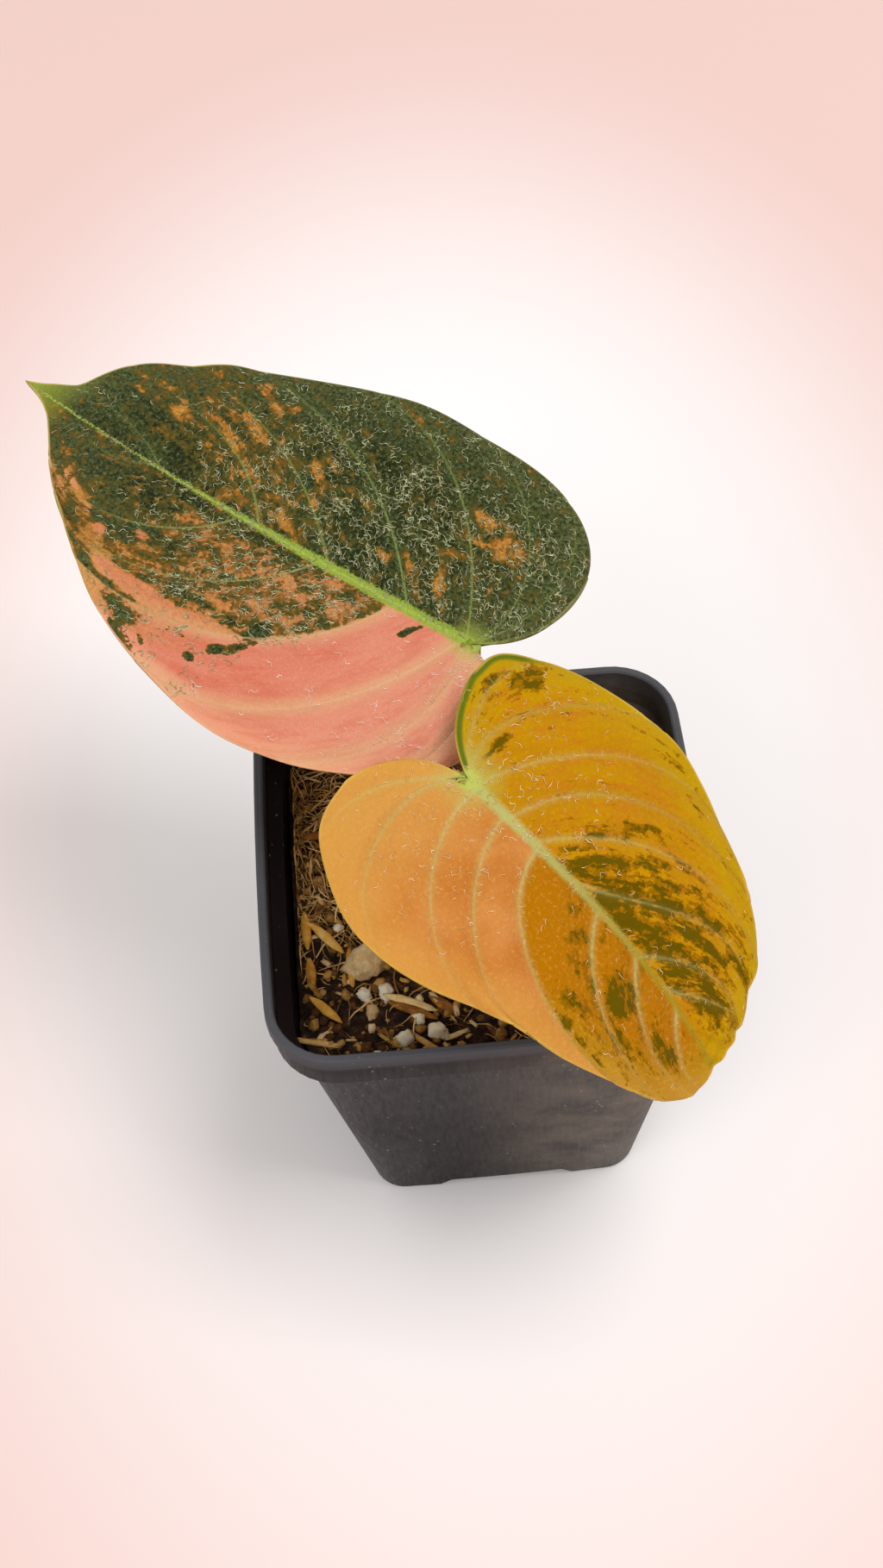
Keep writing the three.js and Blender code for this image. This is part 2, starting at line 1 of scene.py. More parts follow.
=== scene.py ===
import json
import math
import random

import bmesh
import bpy
import numpy as np
from mathutils import Matrix, Vector, noise
from mathutils.bvhtree import BVHTree

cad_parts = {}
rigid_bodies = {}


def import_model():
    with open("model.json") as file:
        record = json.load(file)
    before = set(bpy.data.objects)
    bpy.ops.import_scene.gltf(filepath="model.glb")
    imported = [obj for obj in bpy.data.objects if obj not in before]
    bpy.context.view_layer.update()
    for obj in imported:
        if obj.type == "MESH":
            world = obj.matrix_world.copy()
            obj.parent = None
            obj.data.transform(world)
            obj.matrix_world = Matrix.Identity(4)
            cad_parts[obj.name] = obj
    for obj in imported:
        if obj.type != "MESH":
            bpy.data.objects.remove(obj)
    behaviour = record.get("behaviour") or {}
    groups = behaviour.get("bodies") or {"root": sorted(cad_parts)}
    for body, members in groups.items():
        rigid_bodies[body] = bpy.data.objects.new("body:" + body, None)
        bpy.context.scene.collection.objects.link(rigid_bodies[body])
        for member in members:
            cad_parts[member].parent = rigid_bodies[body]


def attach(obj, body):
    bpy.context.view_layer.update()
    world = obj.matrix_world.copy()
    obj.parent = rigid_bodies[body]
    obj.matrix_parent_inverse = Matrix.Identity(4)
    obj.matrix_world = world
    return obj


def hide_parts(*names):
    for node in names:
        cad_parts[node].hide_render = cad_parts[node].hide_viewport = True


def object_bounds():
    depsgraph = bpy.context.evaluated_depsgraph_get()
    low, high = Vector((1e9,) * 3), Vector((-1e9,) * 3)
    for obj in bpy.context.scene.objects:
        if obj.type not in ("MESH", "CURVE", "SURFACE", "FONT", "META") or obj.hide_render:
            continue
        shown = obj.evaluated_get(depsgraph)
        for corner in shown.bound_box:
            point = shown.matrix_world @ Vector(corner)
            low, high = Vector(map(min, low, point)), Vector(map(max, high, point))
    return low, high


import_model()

bl_info = {
    "name": "Potted Climbing Aroid",
    "version": (1, 0, 0),
    "blender": (4, 5, 0),
    "location": "View3D > Sidebar > Potted Plant",
    "description": "A young aroid with two quilted, variegated leaves in a square nursery pot",
    "category": "Add Mesh",
}

CAD_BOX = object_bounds()
MM = 0.001
TOP_OF_BOX = CAD_BOX[1][2] / MM - 0.05
HAIR_STEPS = 8
ROOT = "root"

# Leaf plans, in millimetres. u runs along the midrib from the notch to the tip and v to the side.
# A row (u, v, start, leave, arrive) is a side vein: its end on the margin, where it starts on the
# midrib, and its angles in degrees at the midrib and at the margin. A row (u, v) is a margin point
# between two veins. Rows go from the notch round the lobe to the tip.
LARGE_PLAN = {
    "notch": (1.7, 22.5, 104.2),
    "length": 96.2,
    "heading": (147.7, -12.1, -2.85),
    "pitch": (12.7, -12.0),
    "roll": 8.0,
    "right": [
        (-10.8, 12.1, 0, 155, 105), (-11.5, 16), (-11.3, 21.2, 0, 152, 78), (-8.1, 27.2),
        (-1.5, 32.3, 0, 139, 37), (8, 35.4), (19.6, 36.8, 0, 128, 11), (30.3, 36.6),
        (40.8, 34.7, 0.6, 70, 4), (52.6, 30.7), (62.5, 26.5, 11.9, 54, 1), (68.5, 23.7),
        (74, 20.5, 27.4, 47, 3), (78.5, 17.5), (82.5, 13.7, 41.8, 53, 0), (85.5, 9.3),
        (88, 4.9, 63, 31, -1), (91.8, 2.1),
    ],
    "left": [
        (-10.4, 10.1, 0, 160, 100), (-10.7, 13.8), (-9.8, 18, 0, 147, 71), (-6.4, 23.4),
        (-0.6, 27.8, 0, 129, 49), (5.3, 31), (15.2, 34.5, 0.7, 107, 27), (28.6, 36.3),
        (43.6, 32.6, 1.6, 72, -13), (54.4, 28.2), (62.2, 23.2, 14.3, 70, -14), (69.4, 18.2),
        (74.1, 14.7, 29.4, 64, -36), (77.4, 12), (80, 9.6, 45.7, 65, -37), (83.7, 6.2),
        (87.9, 2.8, 65.2, 42, 8), (92.3, 0.9),
    ],
}
SMALL_PLAN = {
    "notch": (-0.8, -5.9, 105.0),
    "length": 62.3,
    "heading": (-47.1, 16.9, -25.8),
    "pitch": (-19.5, -28.0),
    "roll": -5.0,
    "right": [
        (-12.4, 11, 0, 172, 106), (-12.9, 16.7), (-9.6, 24.3, 0, 138, 74), (2, 30.6),
        (10.5, 31.4, 0, 139, 10), (18.4, 29.6), (26.8, 25.9, 1.8, 92, -12), (31.1, 24.4),
        (35.2, 23, 8, 84, -17), (43.5, 20.5), (52.5, 16.2, 15.5, 86, -23), (56.4, 14.1),
        (60.5, 11.2, 29.3, 68, -18), (62.2, 8.7), (63.3, 6.4, 38.7, 52, -25), (63.7, 5),
        (63.5, 3.6, 50, 48, -30), (63, 1.8),
    ],
    "left": [
        (-11.9, 12.6, 0, 162, 108), (-11.4, 18.5), (-5.8, 23.3, 0, 140, 48), (2.6, 26.7),
        (17.6, 29.7, 0, 131, 6), (27.1, 28.3), (35, 25.6, 1.4, 74, -17), (41.6, 22.8),
        (45.6, 21.1, 9.1, 80, -14), (49, 19.1), (52.2, 16.4, 14.3, 56, -19), (54.2, 14),
        (55.7, 11.9, 23.4, 26, -30), (57.4, 9.8), (58.8, 7.7, 39.1, 47, -22), (59.4, 6.8),
        (60, 5.8, 45.7, 29, -47), (61.5, 2.5),
    ],
}

# Where the tissue changes colour, as oval patches (u, v, half length, half width, turn in degrees,
# strength). A positive patch brings green into the leaf and a negative one takes it away.
LARGE_PATCHES = [
    # copper flecks on the dark half, from the lobe to the tip
    (2, 18, 2.82, 4.09, 80, -0.74), (5.4, 21.5, 1, 2.52, 85, -0.59), (8.2, 20.4, 1.73, 1.39, 20, -0.59),
    (10.6, 22, 2.18, 0.87, 10, -0.54), (7.5, 16.8, 0.73, 2.7, 100, -0.64), (10, 12.7, 1, 1.74, 75, -0.69),
    (9.6, 6.6, 2, 1.22, 60, -0.74), (8.4, 4.2, 2, 0.87, 50, -0.59), (21, 6.6, 2.36, 1.04, 35, -0.69),
    (14, 5.6, 3.27, 1.13, 45, -0.5), (16.5, 8, 2.64, 0.87, 45, -0.44), (30.8, 33.4, 2.64, 0.87, 15, -0.64),
    (34.6, 32.4, 1.09, 0.7, 60, -0.41), (36.7, 10.3, 2.82, 1.22, 78, -0.66),
    (39, 14, 2.09, 1.22, 50, -0.58), (41, 15.4, 1.55, 1.04, 50, -0.58), (38, 17.2, 1.18, 0.87, 45, -0.5),
    (28.6, 13, 2.18, 0.61, 20, -0.5), (38.5, 2.9, 3.27, 1.22, 20, -0.54),
    (53.5, 15.2, 3.36, 1.39, 20, -0.62), (57, 17.2, 1.64, 1.04, 30, -0.58),
    (51.4, 22.4, 1.82, 1.39, 60, -0.5), (53.4, 20.8, 2.18, 1.13, 10, -0.5),
    (58.2, 23.6, 1.73, 1.39, 0, -0.58), (61.5, 22, 2, 0.87, -20, -0.45), (48.5, 19, 2, 0.87, 30, -0.45),
    (56.5, 12, 4.36, 1.13, 20, -0.41), (50.5, 9, 3.73, 1.04, 25, -0.37), (60.5, 13.4, 3.27, 0.7, 15, -0.37),
    (67.3, 10.8, 2.64, 1.74, 10, -0.83), (69.2, 13.4, 1.27, 0.78, 0, -0.59),
    (74.5, 14, 2.55, 0.87, 0, -0.59), (77.6, 11.2, 2.09, 1.13, 20, -0.59),
    (80, 13.2, 1.64, 0.78, -10, -0.59), (66, 6.3, 3.73, 0.7, 10, -0.34), (70, 22, 4.36, 2.26, -20, -0.2),
    # broad marbling on the dark half
    (54, 12, 27, 11, 14, -0.22), (50, 9, 16, 6, 20, -0.16), (44, 4.5, 18, 4, 10, -0.12),
    (8, 15, 9, 9, 60, -0.2), (62, 19, 14, 6, -5, -0.1),
    # dark green that gathers towards the tip of the pale half and along the midrib
    (72, -6, 19, 6.5, 0, 0.5), (45, -2, 15, 1.8, 0, 0.45), (62, -14.5, 9, 3, -10, 0.45),
    (40, -18.2, 7, 0.9, -6, 0.5), (50, -11, 6, 3, 0, 0.15),
    # warm tissue by the margin of the pale half
    (60.5, -20.5, 5, 2.2, 30, -0.7), (68, -14.5, 5, 1.6, 32, -0.4), (77, -8.5, 6, 1, 34, -0.5),
]
LARGE_SALMON = [
    # spots in the marbled part
    (25, -3, 1.9, 1.4, 20, -0.47), (31, -7, 2.9, 1.8, 30, -0.47), (22, -6.2, 1.8, 1.8, 0, -0.47),
    (33, -13.4, 1.9, 1.3, -20, -0.47), (28.6, -13.6, 1.3, 1.2, 0, -0.42), (37.5, -16.8, 2.6, 1.1, 0, -0.42),
    (43.4, -7.4, 2.2, 1.1, 10, -0.42), (56.2, -13.4, 1.5, 1, 0, -0.84), (62.3, -16.5, 1.7, 0.9, 0, -0.89),
    (66.5, -13.8, 3.4, 0.5, 0, -0.58), (73, -11.6, 3.4, 0.7, 20, -0.68), (52, -9.6, 2.2, 0.7, -20, -0.37),
    (70, -3.6, 4, 0.4, -10, -0.47), (76, -12.2, 5, 0.9, 32, -0.47), (19.4, -7.5, 1.2, 1.4, 0, -0.37),
    (49, -5.6, 2.4, 0.9, 15, -0.32),
    # the band round the sixth vein
    (38, -22, 6.5, 1.9, -8, -1.35), (48.5, -22.3, 7.2, 1.6, 2, -1.25), (57, -21.8, 3, 1.3, 14, -0.9),
]
LARGE_ISLANDS = [
    # green left in the pink
    (8.9, -2.6, 1.7, 0.75, -52, 2.2), (10, -4.6, 1.8, 0.95, -66, 2.4), (30, -19, 1.6, 3.2, 12, 1.94),
    (32.3, -22.4, 1.85, 2.59, 20, 2.03), (34.4, -24.4, 1.48, 1.6, 0, 1.94),
    (36.6, -27.6, 1.48, 1.11, 0, 2.22), (39.6, -25, 1.23, 0.62, 0, 1.94), (42, -25.2, 0.74, 0.99, 0, 2.03),
    (47, -26.8, 4.19, 1.97, -8, 1.35), (50.6, -27.8, 3.9, 3.6, 20, 1.4), (54, -25.4, 3.7, 1.36, 10, 1.4),
    (46.6, -31, 3.57, 1.48, 22, 1.8), (60.5, -22.4, 4.19, 1.11, 26, 0.7),
    (44.4, -29.4, 1.72, 0.74, 30, 1.65),
]
SMALL_PATCHES = [
    # clear tissue by the notch
    (-2, 2.5, 4, 3.2, 0, -1.3),
    # beyond the sixth vein on the peach half
    (34.6, 14.4, 3, 1.8, 20, 0.95), (39.4, 17, 3.4, 1.3, 0, 0.95), (45.6, 17.2, 2.5, 0.8, 0, 0.77),
    (26.2, 3.6, 1.5, 2, 10, 0.83), (29.8, 6, 1.7, 2.3, 20, 1.02), (32.6, 3, 1.1, 1, 0, 0.83),
    (41.4, 6.4, 4.1, 2.4, 25, 0.9), (42, 8.8, 2.3, 1.2, 10, 0.95), (36.4, 9.6, 1.6, 1.2, 0, 0.77),
    (46.6, 11, 2.8, 0.8, 5, 0.64), (54.8, 6.4, 3.9, 1.7, 5, 0.95), (58, 13, 1.8, 0.8, -30, 0.64),
    # streaks along the veins on the golden half
    (22.4, -2.6, 4.8, 1.6, -32, 0.99), (29.4, -3.4, 4.6, 2.4, -42, 0.85), (34.4, -3, 3.4, 1.4, -38, 0.82),
    (25, -6.4, 4.6, 1, -38, 0.76), (40, -5, 4.1, 1.2, -25, 0.82), (48, -4.6, 6.9, 3.4, -14, 0.9),
    (55.6, -4.6, 4.8, 3.4, -30, 0.95), (44, -9.4, 5.8, 1.2, -12, 0.76), (36, -9, 5.3, 1.9, -25, 0.7),
    (51.4, -12.8, 3.4, 1.2, 6, 0.94), (43.6, -13.2, 3.4, 1.1, -8, 0.76), (31, -12, 3.4, 1.3, -35, 0.7),
    (24.6, -13.4, 3.4, 1.7, -50, 0.76), (28.4, -16.6, 2.8, 1.6, -30, 0.76), (21, -9, 2.8, 1.1, -55, 0.58),
    (33.6, -15.6, 3, 1, -15, 0.58), (38, -2.4, 9.2, 1.7, -6, 0.41), (38, -6.5, 23, 7.5, -12, 0.9),
    (34, -13, 17, 5.5, -14, 0.47), (46, 11, 16, 10, 5, 0.8), (-4, -14, 9, 10, 0, 0.3),
    # olive marks on the upper lobe
    (-0.6, -7.4, 1.1, 2.8, 4, 1.27), (-4.8, -18.4, 3, 2.4, -25, 1.19), (-9.6, -12, 1.2, 4.4, 8, 0.95),
    (-7, -21, 4, 1.6, -18, 0.7), (3, -8, 1.2, 3, -20, 0.6), (22, -26.4, 7, 1.9, 4, 0.64),
    (29, -23.8, 4, 1, 6, 0.59),
]

# The blades' form: how each half rises and arches, how the tissue is puffed up between the veins
TIP_INSET = 0.8
VEIN_HANDLE = 0.38
FOLD = 0.12
ARCH = 0.0035
PUFF = 0.1
WIDEST_PUFF = 9.0
PUFF_RISE = 2.6
RIPPLE = 0.45
RIPPLE_PITCH = 3.3
RIDGE_DEPTH = 0.95
RIDGE_WIDTH = 1.3
RIDGE_FLARE = 1.0

# Streaks in the tissue follow the side veins: the width of a row, the shortened length of a vein and the
# shift between the two halves in millimetres of pattern, and the width of the flakes that break them up
ROW_GAP = 4.2
FLOW_LENGTH = 9.0
HALF_SHIFT = 7.0
FLAKE_WIDTH = 0.45

# Stalks: where each leaves the stem and the directions in which it leaves and arrives, the length of its
# straight end and the radius of the collar there
STALKS = {
    "large": {"base": (1.6, 5.0, 71.5), "leave": (0.02, 0.46, 0.89), "arrive": (-0.1, 0.16, 0.98)},
    "small": {"base": (1.2, 2.4, 76.0), "leave": (-0.06, -0.16, 0.98), "arrive": (-0.12, -0.36, 0.93)},
}
STALK_END = 3.5
COLLAR_RADIUS = 1.95

# The pot's square sections, in millimetres: half width, corner radius and height
POT_BASE = (24.8, 6.0, 0.0)
POT_BODY_TOP = (34.7, 9.8, 66.3)
POT_BAND = (37.2, 11.2, 66.3)
POT_RIM = (38.0, 11.8, 75.0)
LIP_HEIGHT = 3.0
LIP_WIDTH = 1.6
SIDE_BOW = 0.35
CORNER_STEPS = 9
SIDE_STEPS = 6
POT_FLOOR = 1.2
CHANNEL = {"foot": 13.4, "roof": 10.4, "height": 3.0, "inner_end": 9.0, "roof_thickness": 1.1}
DRAIN = {"radius": 2.2, "length": 7.0, "centre": 17.0}

# The mix: its level, the gap that it keeps to the pot with the wall, the cells of its grid, and its clods
# and crumbs by width, rise, middle share and seed. The stem stands in it.
SOIL_LEVEL = 64.0
WALL_AND_GAP = 1.2
MIX_CELLS = 180
MIX_CLODS = ((3.4, 1.3, 0.55, 1.3), (1.3, 0.55, 0.5, 7.1))
STEM_PLACE = (1.5, 3.5)
STEM_SIDES = 40

# The camera: where it stands in millimetres, its downward look and roll in degrees, and its focal
# length in pixels of a frame of this height. The lights look at the plant's centre, in metres.
CAMERA_PLACE = (-5.15, -225.7, 413.2)
CAMERA_DOWN = 54.53
CAMERA_ROLL = -5.51
FOCAL_PIXELS = 2750
PHOTO_HEIGHT = 1819
PLANT_CENTRE = Vector((0, 0, 0.08))


# Shared helpers

def linear(hex_colour):
    """An sRGB hex colour as linear RGBA."""
    parts = [int(hex_colour[i:i + 2], 16) / 255 for i in (1, 3, 5)]
    return (*[c / 12.92 if c <= 0.04045 else ((c + 0.055) / 1.055) ** 2.4 for c in parts], 1.0)


def add(tree, kind, inputs=(), out=None, stops=(), **settings):
    """One node with its settings and links. Inputs are named, or stand in the order of the sockets in
    use. Each is a value, a hex colour or the output that feeds it, and stops are a ramp's (position,
    hex colour). It returns the output named, or else the first one in use."""
    node = tree.nodes.new("ShaderNode" + kind)
    for name, value in settings.items():
        setattr(node, name, value)
    named = isinstance(inputs, dict)
    sockets = [node.inputs[name] for name in inputs] if named else [s for s in node.inputs if s.enabled]
    for socket, value in zip(sockets, inputs.values() if named else inputs):
        if isinstance(value, bpy.types.NodeSocket):
            tree.links.new(value, socket)
        else:
            socket.default_value = linear(value) if isinstance(value, str) else value
    for i, (position, colour) in enumerate(stops):
        elements = node.color_ramp.elements
        element = elements[i] if i < 2 else elements.new(position)
        element.position = position
        element.color = linear(colour)
    if out is not None:
        return node.outputs[out]
    return next((output for output in node.outputs if output.enabled), None)


def new_material(name):
    """An empty node material and its tree."""
    material = bpy.data.materials.new(name)
    material.use_nodes = True
    material.node_tree.nodes.clear()
    return material, material.node_tree


def finish_material(tree, inputs, height=None, depth_mm=0.1):
    """The shader with its bump, whose height of 1 stands for depth_mm, and the output."""
    if height is not None:
        inputs["Normal"] = add(tree, "Bump", {"Distance": depth_mm * MM, "Height": height})
    add(tree, "OutputMaterial", {"Surface": add(tree, "BsdfPrincipled", inputs)})


def deselect_all():
    for obj in bpy.context.view_layer.objects:
        obj.select_set(False)


def new_primitive(kind, **sizes):
    """A mesh primitive, which alone is selected."""
    deselect_all()
    getattr(bpy.ops.mesh, f"primitive_{kind}_add")(**sizes)
    return bpy.context.object


def edit():
    """Edit mode, with all of the mesh selected."""
    bpy.ops.object.mode_set(mode="EDIT")
    bpy.ops.mesh.select_all(action="SELECT")


def face_outwards():
    """All faces in edit mode are turned outwards, and edit mode ends."""
    bpy.ops.mesh.select_all(action="SELECT")
    bpy.ops.mesh.normals_make_consistent(inside=False)
    bpy.ops.object.mode_set(mode="OBJECT")


def activate(obj):
    """obj alone is selected and active."""
    deselect_all()
    obj.select_set(True)
    bpy.context.view_layer.objects.active = obj


def apply_modifiers(obj):
    activate(obj)
    for modifier in list(obj.modifiers):
        bpy.ops.object.modifier_apply(modifier=modifier.name)


def new_object(name, data):
    obj = bpy.data.objects.new(name, data)
    bpy.context.scene.collection.objects.link(obj)
    return obj


def mesh_object(name, points, faces):
    """A mesh object from points in millimetres."""
    mesh = bpy.data.meshes.new(name)
    mesh.from_pydata((np.asarray(points) * MM).tolist(), [], faces)
    mesh.update()
    return new_object(name, mesh)


def join(name, objects):
    """Objects joined in one, which takes the name."""
    activate(objects[0])
    for obj in objects:
        obj.select_set(True)
    bpy.ops.object.join()
    objects[0].name = name
    objects[0].data.name = name
    return objects[0]


def dress(obj, material, slot, *nodes, angle=None):
    """Material, smooth faces, body and the CAD nodes that the piece stands for. The slot is not used."""
    obj.data.materials.clear()
    obj.data.materials.append(material)
    activate(obj)
    if angle is None:
        bpy.ops.object.shade_smooth()
    else:
        bpy.ops.object.shade_smooth_by_angle(angle=math.radians(angle))
    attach(obj, ROOT)
    if nodes:
        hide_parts(*nodes)


def remove(*objects):
    for obj in objects:
        bpy.data.objects.remove(obj)


def store(mesh, name, values):
    """An attribute on the points, of numbers or of vectors."""
    values = np.asarray(values, np.float32)
    kind, field = ("FLOAT", "value") if values.ndim == 1 else ("FLOAT_VECTOR", "vector")
    mesh.attributes.new(name, kind, "POINT").data.foreach_set(field, values.ravel())


# The pot's square sections

def corner_points(half, corner, z):
    """Points of a square with round corners, counterclockwise, with sides that bow outwards."""
    points = []
    centre = half - corner
    for side in range(4):
        turn = side * math.pi / 2
        quarter = []
        for i in range(CORNER_STEPS + 1):
            angle = i / CORNER_STEPS * math.pi / 2
            quarter.append((centre + corner * math.cos(angle), centre + corner * math.sin(angle)))
        for i in range(1, SIDE_STEPS):
            along = 2 * i / SIDE_STEPS - 1
            quarter.append((-along * centre, half + SIDE_BOW * (1 - along * along)))
        c, s = math.cos(turn), math.sin(turn)
        points += [(x * c - y * s, x * s + y * c, z) for x, y in quarter]
    return points


def body_section(z, inset=0.0):
    """The pot body's half width and corner radius at a height, which narrow evenly to the base."""
    share = z / POT_BODY_TOP[2]
    half = POT_BASE[0] + (POT_BODY_TOP[0] - POT_BASE[0]) * share
    corner = POT_BASE[1] + (POT_BODY_TOP[1] - POT_BASE[1]) * share
    return half - inset, corner - inset, z


def loft(name, rings):
    """A closed body extruded upwards from ring to ring of points in millimetres."""
    obj = new_primitive("circle", vertices=len(rings[0]), radius=MM, fill_type="NGON")
    obj.name = name
    edit()
    for step, ring in enumerate(rings):
        if step:
            bpy.ops.mesh.extrude_region_move(TRANSFORM_OT_translate={"value": (0, 0, MM)})
        shape = bmesh.from_edit_mesh(obj.data)
        free = [v for v in shape.verts if v.select]
        # each extruded vertex still stands over the point that it came from
        below = rings[step - 1] if step else [v.co / MM for v in free]
        placed = [min(free, key=lambda v: math.hypot(v.co.x - x * MM, v.co.y - y * MM)) for x, y, _ in below]
        for vertex, (x, y, z) in zip(placed, ring):
            vertex.co = (x * MM, y * MM, z * MM)
        bmesh.update_edit_mesh(obj.data)
    face_outwards()
    return obj


def cut(obj, cutter):
    """The cutter is taken from obj and removed."""
    modifier = obj.modifiers.new("cut", "BOOLEAN")
    modifier.solver = "MANIFOLD"
    modifier.object = cutter
    apply_modifiers(obj)
    remove(cutter)


def pot_bodies(wall):
    """The pot's solid outside with its band and lip, and the room inside its wall."""
    base, base_corner, _ = POT_BASE
    band, band_corner, body_top = POT_BAND
    rim, rim_corner, top = POT_RIM
    lip = top - LIP_HEIGHT
    outside = [
        (base - 0.7, base_corner - 0.7, 0), (base - 0.2, base_corner - 0.2, 0.25),
        body_section(0.8), body_section(body_top / 2), body_section(body_top - 0.9),
        body_section(body_top - 0.5, -0.15),
        (band - 0.5, band_corner - 0.5, body_top - 0.2), (band - 0.12, band_corner, body_top),
        (band, band_corner, body_top + 0.3), (band, band_corner, lip - 0.3),
        (band + 0.2, band_corner, lip - 0.05), (rim - 0.25, rim_corner, lip + 0.05),
        (rim, rim_corner, lip + 0.4), (rim, rim_corner, top - 0.7),
        (rim - 0.12, rim_corner - 0.1, top - 0.25), (rim - 0.5, rim_corner - 0.4, top),
    ]
    inner, inner_corner = rim - LIP_WIDTH, rim_corner - LIP_WIDTH
    inside = [
        body_section(POT_FLOOR, wall), body_section(body_top / 2, wall), body_section(body_top - 0.2, wall),
        (band - wall, band_corner - wall, body_top + 0.8), (band - wall, band_corner - wall, lip),
        (inner + 0.05, inner_corner, top - 1.3), (inner, inner_corner, top - 0.9),
        (inner, inner_corner, top - 0.3), (inner + 0.3, inner_corner + 0.3, top),
        (inner + 0.4, inner_corner + 0.4, top + 1),
    ]
    return [
        loft(name, [corner_points(*section) for section in sections])
        for name, sections in (("pot_shell", outside), ("pot_inside", inside))
    ]


def one_each_side(name, kind, sizes, place):
    """A primitive on each of the pot's four sides; place turns a vertex into its point in millimetres."""
    parts = []
    for turn in range(4):
        part = new_primitive(kind, **sizes)
        for vertex in part.data.vertices:
            vertex.co = Matrix.Rotation(turn * math.pi / 2, 3, "Z") @ Vector(place(*vertex.co)) * MM
        parts.append(part)
    return join(name, parts)


def channel_wedges(grow):
    """The four channels under the base, widened and raised by grow."""
    def place(x, y, z):
        half = CHANNEL["roof"] + grow if z > 0 else CHANNEL["foot"] + grow + 1
        return (
            POT_BASE[0] + 10 if x > 0 else CHANNEL["inner_end"] - grow, math.copysign(half, y),
            CHANNEL["height"] + grow if z > 0 else -1,
        )
    return one_each_side("channels", "cube", {"size": 1}, place)


def drain_slots():
    """The four long holes in the channels' roofs."""
    straight = DRAIN["length"] / 2 - DRAIN["radius"]
    return one_each_side(
        "drains", "cylinder", {"vertices": 24, "radius": DRAIN["radius"], "depth": 9},
        lambda x, y, z: (x + DRAIN["centre"], y + math.copysign(straight, y), z + 3.5),
    )


# Blades

def vein_rows(rows, length):
    """All rows of one half as full rows, with the tip as the last."""
    full = [list(row) for row in rows] + [[length, 0, length - TIP_INSET, 0, 0]]
    for i, row in enumerate(full):
        if len(row) == 2:
            row += [(full[i - 1][k] + full[i + 1][k]) / 2 for k in (2, 3, 4)]
    return np.array(full, float)


def row_at(rows, t):
    """Rows between the given ones, on a smooth curve through all of them."""
    last = len(rows) - 1
    i = np.minimum(t.astype(int), last - 1)
    f = (t - i)[..., None]
    b, c = rows[i], rows[i + 1]
    a = np.where((i > 0)[..., None], rows[np.maximum(i - 1, 0)], 2 * b - c)
    d = np.where((i + 1 < last)[..., None], rows[np.minimum(i + 2, last)], 2 * c - b)
    return b + 0.5 * f * (c - a + f * (2 * a - 5 * b + 4 * c - d + f * (3 * (b - c) + d - a)))


def bezier(a, b, c, d, w):
    return (1 - w) ** 3 * a + 3 * (1 - w) ** 2 * w * b + 3 * (1 - w) * w * w * c + w ** 3 * d


def rotate_about(vectors, axes, angles):
    """Vectors square to their axes, turned about them."""
    return vectors * np.cos(angles)[..., None] + np.cross(axes, vectors) * np.sin(angles)[..., None]


